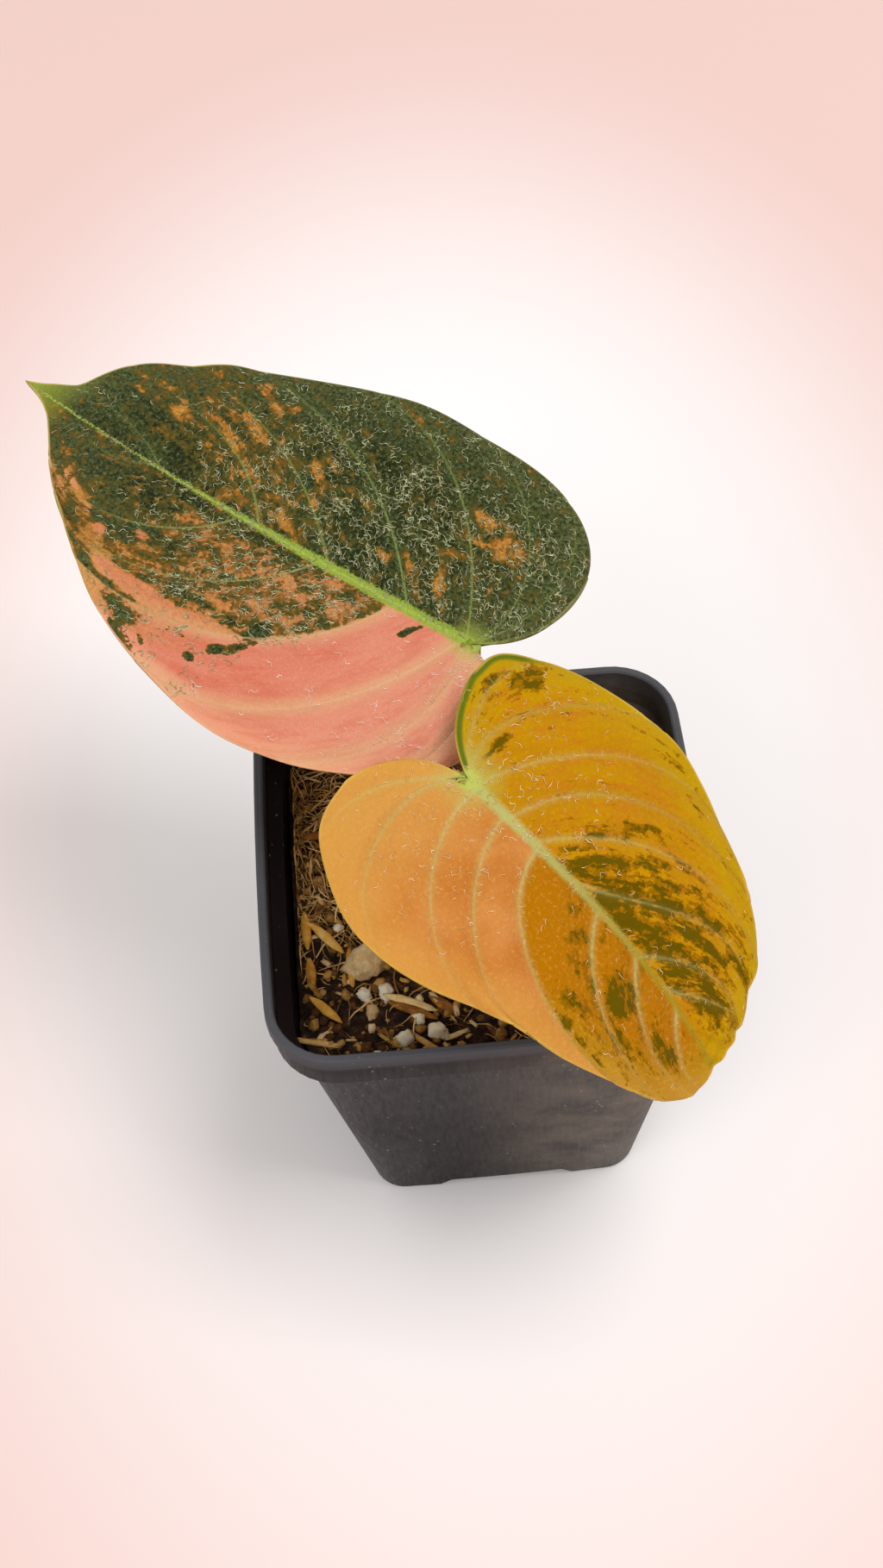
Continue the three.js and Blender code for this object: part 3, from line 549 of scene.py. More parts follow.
class Blade:
    """A heart-shaped blade: its plan, its relief and its place in space, all in millimetres."""

    def __init__(self, plan):
        self.notch = np.array(plan["notch"])
        self.length = plan["length"]
        self.heading = plan["heading"]
        self.pitch = plan["pitch"]
        self.roll = plan["roll"]
        self.rows = {1: vein_rows(plan["right"], self.length), -1: vein_rows(plan["left"], self.length)}
        self.last = len(self.rows[1]) - 1
        self.reach = self.length * 1.15
        steps = np.linspace(0, self.reach, 201)
        tangents = self.tangent(steps)
        means = (tangents[1:] + tangents[:-1]) / 2 * (self.reach / 200)
        self.line_steps = steps
        self.line = np.vstack([np.zeros(3), np.cumsum(means, axis=0)])

    def tangent(self, s):
        share = np.clip(s / self.length, 0, 1.2)
        heading = np.radians(sum(factor * share ** k for k, factor in enumerate(self.heading)))
        pitch = np.radians(sum(factor * share ** k for k, factor in enumerate(self.pitch)))
        parts = (np.cos(pitch) * np.cos(heading), np.cos(pitch) * np.sin(heading), np.sin(pitch))
        return np.stack(parts, axis=-1)

    def frames(self, s):
        """The midrib's points and its right and up directions."""
        forward = self.tangent(s)
        inside = np.clip(s, 0, self.reach)
        point = np.stack([np.interp(inside, self.line_steps, self.line[:, k]) for k in range(3)], axis=-1)
        point = point + forward * np.minimum(s, 0)[..., None]
        level = np.cross(forward, (0.0, 0.0, 1.0))
        level /= np.linalg.norm(level, axis=-1)[..., None]
        share = np.clip(s / self.length, 0, 1.2)
        right = rotate_about(level, forward, -math.radians(self.roll) * (1 - share))
        return point, right, np.cross(right, forward)

    def plan(self, side, t, w):
        """Plan points at the share w of the way from the midrib to the margin, along the rows at t."""
        u, v, start, leave, arrive = np.moveaxis(row_at(self.rows[side], t), -1, 0)
        start = np.clip(start, 0, self.length - TIP_INSET)
        reach = VEIN_HANDLE * np.hypot(u - start, v)
        out, into = np.radians(leave), np.radians(arrive)
        along = bezier(start, start + reach * np.cos(out), u - reach * np.cos(into), u, w)
        across = bezier(0, reach * np.sin(out), v - reach * np.sin(into), v, w)
        return np.stack([along, across * side], axis=-1)

    def relief(self, side, t, w):
        """Height of the tissue between two veins, and of the rippled margin."""
        vein = np.minimum(2 * np.floor(t / 2), self.last - 2)
        share = (t - vein) / 2
        gap = np.linalg.norm(self.plan(side, vein, w) - self.plan(side, vein + 2, w), axis=-1)
        pillow = 1 - np.abs(2 * share - 1) ** 1.7
        off = self.plan(side, t, w)[..., 1]
        rise = off ** 2 / (off ** 2 + PUFF_RISE ** 2)
        taper = np.minimum(1, (self.last - t) / 3)
        ripple = RIPPLE * np.sin(2 * math.pi * t / RIPPLE_PITCH) * w ** 4 * taper
        return PUFF * np.minimum(gap, WIDEST_PUFF) * pillow * rise * (1 - 0.6 * w ** 4) + ripple

    def place(self, u, v, height):
        """Points in space over the plan, and the blade's up direction there."""
        point, right, up = self.frames(u)
        arched = FOLD * (np.sqrt(v * v + 1) - 1) - ARCH * v * v
        lift = (arched + height)[..., None]
        return self.notch + point + right * v[..., None] + up * lift, up

    def ridge(self, u, v):
        """Depth of the midrib's ridge below the blade, which flares where the stalk joins it."""
        along = np.where(u < 0, np.exp(-((u / 2.5) ** 2)), np.clip(1 - u / self.length, 0, 1) ** 0.7)
        width = RIDGE_WIDTH + RIDGE_FLARE * np.exp(-np.abs(u) / 4)
        return RIDGE_DEPTH * along * np.exp(-((v / width) ** 2))

    def vein_lines(self, side):
        """The side veins of one half as runs of plan points."""
        w = np.linspace(0, 1, 41)
        return [self.plan(side, np.full(41, float(t)), w) for t in range(2, self.last, 2)]

    def margin_line(self, side):
        """The edge of one half, from the notch round the lobe to the tip."""
        sinus = self.plan(side, np.zeros(21), np.linspace(0, 1, 21))
        t = np.linspace(0, self.last, self.last * 6 + 1)
        return np.vstack([sinus, self.plan(side, t, np.ones(len(t)))[1:]])


def distance_to_lines(points, lines):
    """Distance from each plan point to the nearest of some runs of points."""
    starts = np.vstack([line[:-1] for line in lines])
    spans = np.vstack([line[1:] - line[:-1] for line in lines])
    squares = np.maximum((spans ** 2).sum(axis=1), 1e-12)
    nearest = np.empty(len(points))
    for first in range(0, len(points), 4000):
        away = points[first:first + 4000, None, :] - starts[None]
        share = np.clip((away * spans).sum(axis=2) / squares, 0, 1)
        rest = away - share[..., None] * spans
        nearest[first:first + 4000] = np.sqrt((rest ** 2).sum(axis=2).min(axis=1))
    return nearest


def patch_field(points, patches):
    """The sum of the oval patches at plan points."""
    total = np.zeros(len(points))
    for u, v, long, wide, turn, strength in patches:
        c, s = math.cos(math.radians(turn)), math.sin(math.radians(turn))
        du, dv = points[:, 0] - u, points[:, 1] - v
        square = ((du * c + dv * s) / long) ** 2 + ((dv * c - du * s) / wide) ** 2
        total += strength * np.exp(-square ** 2)
    return total


def stitch(inner, outer, plan):
    """Triangles of the band between the midrib points and the first points of one half."""
    def gap(a, b):
        return math.hypot(plan[a][0] - plan[b][0], plan[a][1] - plan[b][1])
    triangles = []
    i = j = 0
    while i < len(inner) - 1 or j < len(outer) - 1:
        can_inner = i < len(inner) - 1
        can_outer = j < len(outer) - 1
        if can_inner and (not can_outer or gap(inner[i + 1], outer[j]) < gap(inner[i], outer[j + 1])):
            triangles.append((inner[i], outer[j], inner[i + 1]))
            i += 1
        else:
            triangles.append((inner[i], outer[j], outer[j + 1]))
            j += 1
    return triangles


def smooth(values, low, high):
    share = np.clip((values - low) / (high - low), 0, 1)
    return share * share * (3 - 2 * share)


def blade_sheet(name, blade, row_steps, across_steps, extra_relief):
    """The blade as one open sheet, its plan and the measures that its pattern follows."""
    count = blade.last * row_steps
    shares = np.linspace(0, 1, across_steps + 1)[1:]
    spine_u = np.linspace(0, blade.length - TIP_INSET, count // 2 + 1)
    still = np.zeros_like(spine_u)
    row_numbers = np.arange(blade.last + 1)
    spine_rows = np.interp(spine_u, blade.rows[1][:, 2] + row_numbers * 1e-6, row_numbers)
    # plan points, heights, rows and reaches: of the midrib first, and then of each half
    parts = [(np.stack([spine_u, still], axis=-1), still, spine_rows, still)]
    faces = []
    total = len(spine_u)
    spine = list(range(total))
    for side in (1, -1):
        t, w = np.meshgrid(np.linspace(0, blade.last, count + 1), shares, indexing="ij")
        ids = total + np.arange(t.size).reshape(t.shape)
        total += t.size
        t, w = t.ravel(), w.ravel()
        parts.append((blade.plan(side, t, w), blade.relief(side, t, w), t, w))
        band = stitch(spine, ids[:, 0].tolist(), np.vstack([part[0] for part in parts]))
        quads = np.stack([ids[:-1, :-1], ids[:-1, 1:], ids[1:, 1:], ids[1:, :-1]], axis=-1).reshape(-1, 4)
        faces += [tuple(f) if side > 0 else tuple(reversed(f)) for f in band + quads.tolist()]
    plan, heights, row, reach = (np.concatenate(part) for part in zip(*parts))
    if extra_relief is not None:
        heights = heights + extra_relief(plan)
    along, across = plan.T
    sheet = mesh_object(name, blade.place(along, across, heights)[0], faces)
    vein_gaps = [distance_to_lines(plan, blade.vein_lines(side)) for side in (1, -1)]
    measures = {
        "along": along, "across": across, "off": np.abs(across), "row": row, "reach": reach,
        "vein_gap": np.where(across >= 0, *vein_gaps),
        "rim_gap": distance_to_lines(plan, [blade.margin_line(1), blade.margin_line(-1)]),
        "plan": np.column_stack([plan, np.zeros(len(plan))]),
        "flow": np.column_stack([row * ROW_GAP, reach * FLOW_LENGTH, np.sign(across) * HALF_SHIFT]),
    }
    return sheet, plan, measures


def read(points, field, width=1):
    """A field of all points, as one run of numbers."""
    values = np.empty(len(points) * width, np.float32)
    points.foreach_get(field, values)
    return values.astype(float)


def thicken(sheet, blade, thickness):
    """The sheet gets its thickness, its upper side's mark and the midrib's ridge below."""
    activate(sheet)
    edit()
    bpy.ops.mesh.remove_doubles(threshold=2e-6)
    bpy.ops.mesh.dissolve_degenerate(threshold=1e-7)
    # the two halves can share an edge twice at the very tip
    bpy.ops.mesh.select_mode(type="EDGE")
    bpy.ops.mesh.select_all(action="DESELECT")
    bpy.ops.mesh.select_non_manifold(
        use_wire=False, use_boundary=False, use_non_contiguous=False, use_verts=False)
    bpy.ops.mesh.edge_collapse()
    bpy.ops.mesh.select_all(action="SELECT")
    bpy.ops.mesh.delete_loose()
    bpy.ops.object.mode_set(mode="OBJECT")
    single = len(sheet.data.vertices)
    store(sheet.data, "upper", np.ones(single))
    solidify = sheet.modifiers.new("thickness", "SOLIDIFY")
    solidify.thickness = thickness
    solidify.offset = 0
    apply_modifiers(sheet)
    mesh = sheet.data
    co = read(mesh.vertices, "co", 3).reshape(-1, 3)
    first, second = co[:single], co[single:2 * single]
    top_is_first = (first[:, 2] - second[:, 2]).mean() > 0
    lower = slice(single, 2 * single) if top_is_first else slice(0, single)
    down = second - first if top_is_first else first - second
    down /= np.maximum(np.linalg.norm(down, axis=1), 1e-12)[:, None]
    along, across = (read(mesh.attributes[key].data, "value")[lower] for key in ("along", "across"))
    co[lower] += down * (blade.ridge(along, across) * MM)[:, None]
    mesh.vertices.foreach_set("co", co.ravel())
    upper = np.ones(len(mesh.vertices), np.float32)
    upper[lower] = 0
    mesh.attributes["upper"].data.foreach_set("value", upper)
    mesh.update()


def tube_mesh(name, paths, radii, tints, sides=3):
    """Thin closed tubes along runs of points in millimetres, each with its own radii and tint."""
    points = []
    faces = []
    shades = []
    for path, radius, tint in zip(paths, radii, tints):
        path = np.asarray(path)
        shades += [tint] * (sides * len(path))
        ways = np.gradient(path, axis=0)
        ways /= np.maximum(np.linalg.norm(ways, axis=1), 1e-9)[:, None]
        lift = np.cross(ways, np.cross(np.array((0.3, 0.2, 0.93)), ways))
        lift /= np.maximum(np.linalg.norm(lift, axis=1), 1e-9)[:, None]
        flat = np.cross(ways, lift)
        base = len(points)
        for k in range(len(path)):
            for n in range(sides):
                angle = 2 * math.pi * n / sides
                points.append(path[k] + radius[k] * (math.cos(angle) * lift[k] + math.sin(angle) * flat[k]))
        for k in range(len(path) - 1):
            for n in range(sides):
                m = (n + 1) % sides
                a, b = base + k * sides, base + (k + 1) * sides
                faces.append((a + n, a + m, b + m, b + n))
        faces.append(tuple(base + n for n in reversed(range(sides))))
        end = base + (len(path) - 1) * sides
        faces.append(tuple(end + n for n in range(sides)))
    obj = mesh_object(name, points, faces)
    store(obj.data, "tint", shades)
    return obj


# Potting mix

def mix_level(x, y):
    """Height of the mix under its crumbs."""
    long = math.sin(0.19 * x + 0.9) * math.cos(0.16 * y - 0.4)
    short = math.sin(0.43 * x - 0.31 * y) + 0.8 * math.sin(0.36 * x + 0.52 * y + 2)
    edge = (max(abs(x), abs(y)) / POT_BODY_TOP[0]) ** 6
    return SOIL_LEVEL + 0.8 * (0.7 * long + 0.5 * short) - 0.8 * edge


def mix_surface(x, y):
    """Height of the crumbly surface: rounded clods, crumbs and fine grit."""
    height = mix_level(x, y)
    for width, rise, middle, seed in MIX_CLODS:
        nearness = 1 - noise.voronoi(Vector((x / width, y / width, seed)))[0][0]
        height += rise * (nearness - middle)
    return height + 0.3 * noise.fractal(Vector((x * 1.4, y * 1.4, 3.7)), 0.8, 2.1, 4)


def mix_body():
    """A fine grid pressed into the pot's round-cornered square, with its sides drawn down to the base."""
    half, corner, _ = body_section(SOIL_LEVEL - 1, WALL_AND_GAP)
    centre = half - corner
    obj = new_primitive("grid", x_subdivisions=MIX_CELLS, y_subdivisions=MIX_CELLS, size=2)
    obj.name = "soil_surface"
    for vertex in obj.data.vertices:
        a, b = vertex.co.x, vertex.co.y
        scale = max(abs(a), abs(b))
        if scale < 1e-6:
            x = y = 0.0
        else:
            px, py = abs(a) / scale * half, abs(b) / scale * half
            if px > centre and py > centre:
                away = math.hypot(px - centre, py - centre)
                px = centre + corner * (px - centre) / away
                py = centre + corner * (py - centre) / away
            x, y = math.copysign(px * scale, a), math.copysign(py * scale, b)
        vertex.co = (x * MM, y * MM, mix_surface(x, y) * MM)
    bpy.ops.object.mode_set(mode="EDIT")
    bpy.ops.mesh.select_mode(type="EDGE")
    bpy.ops.mesh.select_all(action="DESELECT")
    bpy.ops.mesh.select_non_manifold()
    for z in (SOIL_LEVEL - 4, POT_FLOOR + 0.3):
        bpy.ops.mesh.extrude_region_move(TRANSFORM_OT_translate={"value": (0, 0, -MM)})
        shape = bmesh.from_edit_mesh(obj.data)
        ring = [v for v in shape.verts if v.select]
        scale = body_section(z, WALL_AND_GAP)[0] / max(v.co.x / MM for v in ring)
        for vertex in ring:
            vertex.co = (vertex.co.x * scale, vertex.co.y * scale, z * MM)
        bmesh.update_edit_mesh(obj.data)
    bpy.ops.mesh.edge_face_add()
    face_outwards()
    cut(obj, channel_wedges(CHANNEL["roof_thickness"] + 0.3))
    # the cut can leave two faces back to back
    shape = bmesh.new()
    shape.from_mesh(obj.data)
    pairs = [f for f in shape.faces if len({near for edge in f.edges for near in edge.link_faces}) == 2]
    bmesh.ops.delete(shape, geom=pairs, context="FACES")
    shape.to_mesh(obj.data)
    shape.free()
    return obj


def copies(name, shape, places, seed):
    """Copies of one small shape (points, faces), each sized, turned and set down at its place.
    A place is (x, y, z, (size along, across, up), turn, tilt), and each copy gets its own tint."""
    draw = random.Random(seed)
    points, faces, tints = [], [], []
    base_points, base_faces = shape
    for x, y, z, size, turn, tilt in places:
        first = len(points)
        spin = Matrix.Rotation(turn, 3, "Z") @ Matrix.Rotation(tilt, 3, "Y")
        spin = spin @ Matrix.Rotation(tilt * 0.6, 3, "X")
        tint = draw.random()
        for p in base_points:
            jitter = 1 + 0.16 * (draw.random() - 0.5)
            q = spin @ Vector((p[0] * size[0], p[1] * size[1], p[2] * size[2])) * jitter
            points.append((x + q.x, y + q.y, z + q.z))
            tints.append(tint)
        faces += [tuple(first + i for i in f) for f in base_faces]
    obj = mesh_object(name, points, faces)
    store(obj.data, "tint", tints)
    return obj


def primitive_shape(obj):
    """A primitive's points and faces; the object is removed."""
    points = [tuple(v.co) for v in obj.data.vertices]
    faces = [tuple(p.vertices) for p in obj.data.polygons]
    remove(obj)
    return points, faces


def lump_shape(subdivisions, roughness, seed):
    """A rounded, uneven stone of half width 1."""
    obj = new_primitive("ico_sphere", subdivisions=subdivisions, radius=1)
    for vertex in obj.data.vertices:
        bump = noise.fractal(vertex.co * 1.3 + Vector((seed, 0, 0)), 0.9, 2.0, 3)
        vertex.co *= 1 + roughness * bump
    return primitive_shape(obj)


def hull_shape():
    """A rice hull: a pointed boat, ribbed along its back and hollow below."""
    obj = new_primitive("uv_sphere", segments=12, ring_count=8, radius=1, rotation=(0, math.pi / 2, 0))
    bpy.ops.object.transform_apply(location=False, rotation=True, scale=False)
    for vertex in obj.data.vertices:
        x, y, z = vertex.co
        narrow = 1 - 0.35 * x * x
        rib = 1 + 0.12 * math.cos(5 * math.atan2(y, z))
        z *= 1 if z > 0 else -0.35
        vertex.co = (x, y * narrow * rib, z * narrow * rib - 0.1)
    return primitive_shape(obj)


def strip_shape():
    """A splinter: a flat bar with ragged ends, with a slight wave along its length."""
    obj = new_primitive("cube", size=2)
    edit()
    bpy.ops.mesh.subdivide(number_cuts=2)
    bpy.ops.object.mode_set(mode="OBJECT")
    for vertex in obj.data.vertices:
        x, y, z = vertex.co
        fray = 0.25 * math.sin(7 * y + 3 * z) if abs(x) > 0.9 else 0
        vertex.co = (x + fray, y * (1 - 0.2 * x * x) + 0.12 * math.sin(3 * x), z * (1 - 0.2 * y * y))
    return primitive_shape(obj)


def free_places(draw, count, reach):
    """Random places on the mix, clear of the stem and inside the pot's round corners."""
    half, corner, _ = body_section(SOIL_LEVEL, WALL_AND_GAP)
    centre = half - corner
    places = []
    while len(places) < count:
        x, y = (2 * draw.random() - 1) * reach, (2 * draw.random() - 1) * reach
        outside = math.hypot(max(abs(x) - centre, 0), max(abs(y) - centre, 0)) > corner - 1.5
        if not outside and math.hypot(x - STEM_PLACE[0], y - STEM_PLACE[1]) > 6:
            places.append((x, y))
    return places


def lying(x, y, size, turn, lift, tilt=0.0):
    """A place on the surface for copies."""
    return x, y, mix_surface(x, y) + lift, size, math.radians(turn), math.radians(tilt)


PERLITE_PLACES = [
    (-17.9, -19.2, 3.2), (-15.6, -28.8, 3.2), (-9.7, -27.8, 3.6), (-20.5, -22.9, 2.6), (-19.8, -31, 2.2),
    (-17.2, -31.1, 1.8), (-11, -31.5, 1.8), (-20.8, -25.9, 1.6), (-21.6, -19.6, 2.6), (-25.4, -5.5, 1.8),
    (-12.4, -21.3, 1.8), (-16.6, -21.4, 1.4), (-24, -16.4, 1.2),
]
HULL_PLACES = [
    (-14, -22.2, 10, -22), (-13.8, -23.6, 9.4, -24), (-28.4, -21.7, 7.4, -45), (-27.5, -7.6, 8.6, -48),
    (-31, -5.6, 7.4, -88), (-8.3, -22.8, 6.5, -38), (-30.6, -13.8, 6.2, -86),
]
STRIP_PLACES = [
    (-29.8, -28.4, 6.4, -15), (-12.4, -29.2, 8.8, -40), (-30.2, -17, 3.8, -62), (0.3, -29.6, 5.6, -55),
]


def crumb_places(draw, count):
    places = []
    for x, y in free_places(draw, count, 32.5):
        size = 0.35 + 0.9 * draw.random() ** 2.5
        places.append(lying(x, y, (size, size * 0.85, size * 0.75), 360 * draw.random(), 0.2 * size))
    return places


def perlite_places(draw, count):
    """The grains seen in the photograph, others on the near side, and one large one."""
    grains = PERLITE_PLACES + [
        (x, y, 1.2 + 2.0 * draw.random() ** 1.5) for x, y in free_places(draw, count, 31) if x - y > -6
    ]
    places = [
        lying(x, y, (size / 2, size / 2 * 0.82, size / 2 * 0.78), 360 * draw.random(), 0.18 * size)
        for x, y, size in grains
    ]
    return places + [lying(-21.1, -13.3, (3.6, 3.0, 2.4), 30, 0.6)]


def hull_places(draw, count):
    places = [lying(x, y, (length / 2, 0.92, 0.75), turn, 0.55, 6) for x, y, length, turn in HULL_PLACES]
    for x, y in free_places(draw, count, 30):
        length = 5 + 4 * draw.random()
        places.append(lying(x, y, (length / 2, 0.88, 0.7), 360 * draw.random(), 0.5, 24 * draw.random() - 12))
    return places


def strip_places(draw, count):
    places = [lying(x, y, (length / 2, 0.5, 0.3), turn, 0.35, 4) for x, y, length, turn in STRIP_PLACES]
    for x, y in free_places(draw, count, 31):
        size = ((1 + 3.6 * draw.random() ** 2) / 2, 0.12 + 0.4 * draw.random(), 0.1 + 0.2 * draw.random())
        places.append(lying(x, y, size, 360 * draw.random(), 0.3, 30 * draw.random() - 15))
    return places


def fibre_paths(draw, count):
    """Coir and root fibres that wander over the surface."""
    paths, radii, tints = [], [], []
    for x, y in free_places(draw, count, 32):
        if draw.random() < 0.45:
            x, y = -34.5 + 11 * draw.random(), -6 + 35 * draw.random()
            x, y = max(x, -31.6), min(y, 29)
        heading = 2 * math.pi * draw.random()
        bend = 1.4 * (draw.random() - 0.5)
        length = 3 + 9 * draw.random() ** 1.5
        steps = 7
        path = []
        high = 0.25 + 1.5 * draw.random() ** 3
        for k in range(steps):
            share = k / (steps - 1)
            arch = high * math.sin(math.pi * share)
            path.append((x, y, mix_surface(x, y) + 0.05 + arch))
            heading += bend / steps * 2 + 0.5 * (draw.random() - 0.5)
            x = min(max(x + length / steps * math.cos(heading), -32.2), 32.2)
            y = min(max(y + length / steps * math.sin(heading), -32.2), 32.2)
        thick = 0.07 + 0.16 * draw.random() ** 2
        paths.append(path)
        radii.append([thick * (1 - 0.5 * abs(2 * k / (steps - 1) - 1)) for k in range(steps)])
        tints.append(draw.random())
    return paths, radii, tints


# Stem and stalks

def stem_body():
    """A short round crown, ringed by two leaf scars."""
    radius, foot = 3.7, 52.0
    profile = [
        (0.8, 0), (1, 1.2), (1, 10), (1, 14.5), (0.94, 16.6), (0.92, 17.4), (1, 18), (0.99, 18.4),
        (0.9, 19.2), (0.88, 21), (0.89, 22.4), (0.97, 23), (0.96, 23.5), (0.86, 24.2), (0.82, 25.6),
        (0.74, 26.9), (0.55, 27.9), (0.25, 28.4),
    ]
    rings = []
    for share, height in profile:
        rings.append([])
        for k in range(STEM_SIDES):
            turn = math.pi / 2 + 2 * math.pi * k / STEM_SIDES
            uneven = 1 + 0.018 * math.sin(5 * turn + 0.4 * height) + 0.012 * math.sin(9 * turn - height)
            wide = min(radius * share * uneven, radius)
            x, y = STEM_PLACE[0] + wide * math.cos(turn), STEM_PLACE[1] + wide * math.sin(turn)
            rings[-1].append((x, y, foot + height))
    return loft("stem_crown", rings)


def stalk_radius(share):
    """Stout at the sheath, slim along the neck, swollen below the blade."""
    sheath = 0.6 * (1 - share) ** 3
    swelling = 0.25 * float(smooth(np.array(share), 0.8, 0.97))
    return 1.15 + sheath + swelling


def stalk_body(name, leaf, notch):
    """A leaf stalk: a curve with its own thickness along the way, turned into a mesh. Its last point
    swells into the collar below the notch."""
    stalk = STALKS[leaf]
    start, notch = Vector(stalk["base"]), Vector(notch)
    leave, arrive = Vector(stalk["leave"]).normalized(), Vector(stalk["arrive"]).normalized()
    end = notch - arrive * STALK_END
    reach = (end - start).length * 0.38
    deselect_all()
    bpy.ops.curve.primitive_bezier_curve_add()
    obj = bpy.context.object
    curve = obj.data
    points = curve.splines[0].bezier_points
    for point, place, way in ((points[0], start, leave), (points[1], end, arrive)):
        point.handle_left_type = point.handle_right_type = "FREE"
        point.co = place * MM
        point.handle_left = (place - way * reach) * MM
        point.handle_right = (place + way * reach) * MM
    bpy.ops.object.mode_set(mode="EDIT")
    bpy.ops.curve.select_all(action="SELECT")
    bpy.ops.curve.subdivide(number_cuts=11)
    bpy.ops.object.mode_set(mode="OBJECT")
    points = curve.splines[0].bezier_points
    last = len(points) - 1
    for k, point in enumerate(points):
        point.radius = stalk_radius(k / last)
    points.add(1)
    top = points[-1]
    top.handle_left_type = top.handle_right_type = "FREE"
    top.co = (notch - arrive * 0.35) * MM
    top.handle_left = (notch - arrive * 1.6) * MM
    top.handle_right = top.co
    top.radius = COLLAR_RADIUS
    points[last].handle_right = (notch - arrive * 2.4) * MM
    curve.dimensions = "3D"
    curve.bevel_depth = MM
    curve.bevel_resolution = 7
    curve.resolution_u = 6
    curve.use_fill_caps = True
    activate(obj)
    bpy.ops.object.convert(target="MESH")
    edit()
    bpy.ops.mesh.remove_doubles(threshold=1e-6)
    face_outwards()
    bpy.context.object.name = name
    return bpy.context.object


# Hairs

def squiggle(draw, length, curl):
    """A curly hair's plan: its points from its root, in millimetres. It winds from side to side."""
    steps = HAIR_STEPS
    heading = draw.gauss(0, 0.3)
    phase = 2 * math.pi * draw.random()
    turns = length / (1.5 + 0.9 * draw.random())
    x = y = 0.0
    points = [(0.0, 0.0)]
    for k in range(steps):
        way = heading + curl * math.sin(phase + 2 * math.pi * turns * k / steps) + 0.5 * (draw.random() - 0.5)
        x += length / steps * math.cos(way)
        y += length / steps * math.sin(way)
        points.append((x, y))
    return points


def hair_tubes(name, sheet, blade, roots, seed):
    """Squiggly hairs that lie on a blade. A root is (u, v, length, heading, curl, radius, lift, tint)."""
    draw = random.Random(seed)
    tree = BVHTree.FromObject(sheet, bpy.context.evaluated_depsgraph_get())
    paths, radii, tints = [], [], []
    for u, v, length, heading, curl, radius, lift, tint in roots:
        c, s = math.cos(heading), math.sin(heading)
        flat = squiggle(draw, length, curl)
        us = np.array([u + c * a - s * b for a, b in flat])
        vs = np.array([v + s * a + c * b for a, b in flat])
        above, ups = blade.place(us, vs, np.full(len(us), 3.0))
        path = []
        for k, (point, up) in enumerate(zip(above, ups)):
            hit, *_ = tree.ray_cast(Vector(point) * MM, -Vector(up), 8 * MM)
            if hit is None:
                break
            share = k / (len(flat) - 1)
            raised = radius * 0.6 + lift * math.sin(math.pi * share * 0.8)
            spot = np.array(hit / MM) + np.array(up) * raised
            if spot[2] + radius > TOP_OF_BOX:
                break
            path.append(spot)
        if len(path) < 4:
            continue
        paths.append(path)
        last = len(path) - 1
        radii.append([radius * (1 - 0.55 * (k / last) ** 2) for k in range(last + 1)])
        tints.append(tint)
    return tube_mesh(name, paths, radii, tints)


def large_hair_roots(count, seed):
    """Dense in drifts on the dark tissue, sparse on the pink, and few towards the tip."""
    draw = random.Random(seed)
    roots = []
    while len(roots) < count:
        u = -11 + 100 * draw.random()
        v = -36 + 73 * draw.random()
        pink = v < 0 and u < 15 + abs(v) * 0.55
        dense = (0.25 if u < 9 else 0.06) if pink else 1.0
        dense *= 1.0 if u < 42 else max(0.06, 1 - (u - 42) / 26)
        dense *= 0.35 if abs(v) < 1.5 else 1
        if v > 25 or (v < -19 and not pink):
            dense *= 0.4
        drift = 0.6 + 1.1 * noise.noise(Vector((u / 5, v / 5, 2.2)))
        if draw.random() > dense * max(0.08, drift):
            continue
        length = 1.1 + 2.4 * draw.random() ** 1.5
        heading = math.radians(draw.gauss(40 if v > 0 else -20, 38))
        curl = 0.5 + 0.8 * draw.random()
        radius = (0.045 if pink else 0.055) + 0.035 * draw.random()
        lift = 0.03 + 0.09 * draw.random()
        tint = 1.0 if pink else 0.25 * draw.random()
        roots.append((u, v, length, heading, curl, radius, lift, tint))
    return roots


def small_hair_roots(count, seed):
    """Few and short, most of them near the notch."""
    draw = random.Random(seed)
    roots = []
    while len(roots) < count:
        u = -12 + 74 * draw.random()
        v = -29 + 60 * draw.random()
        if draw.random() > max(0.04, 1 - math.hypot(u - 6, v * 0.8) / 24):
            continue
        length = 0.8 + 1.8 * draw.random() ** 1.5
        heading = math.radians(draw.gauss(60, 50))
        curl = 0.4 + 0.9 * draw.random()
        roots.append((u, v, length, heading, curl, 0.04 + 0.04 * draw.random(), 0.08, draw.random()))
    return roots


def fuzz_roots(blade, count, seed, tint):
    """Short straight hairs along the midrib and across the veins."""
    draw = random.Random(seed)
    roots = []
    lines = [line for side in (1, -1) for line in blade.vein_lines(side)]
    for n in range(count):
        if n % 2:
            u, v = blade.length * 0.8 * draw.random(), draw.choice((-1, 1)) * 0.9 * draw.random()
            heading = draw.choice((-1, 1)) * math.radians(55 + 40 * draw.random())
        else:
            line = draw.choice(lines)
            k = draw.randrange(2, len(line) - 4)
            u, v = line[k]
            way = line[k + 1] - line[k]
            slant = draw.choice((-1, 1)) * math.radians(60 + 40 * draw.random())
            heading = math.atan2(way[1], way[0]) + slant
        ground = 1.0 if v < -1 and u < 15 - 0.55 * v else tint
        roots.append((u, v, 0.5 + 0.7 * draw.random(), heading, 0.2, 0.04, 0.15, ground))
    return roots


# Materials

# A MapRange takes (measure, from, from, to, to), and a Mix takes (share, colour, colour). The noises are
# given as (place, width of their spots in millimetres, detail, roughness).

def fade(tree, share, *fades):
    """A share that fades in turn. A fade is an output, or a measure with what it goes from and to."""
    for part in fades:
        if isinstance(part, tuple):
            part = add(tree, "MapRange", part)
        share = add(tree, "Math", (share, part), operation="MULTIPLY")
    return share


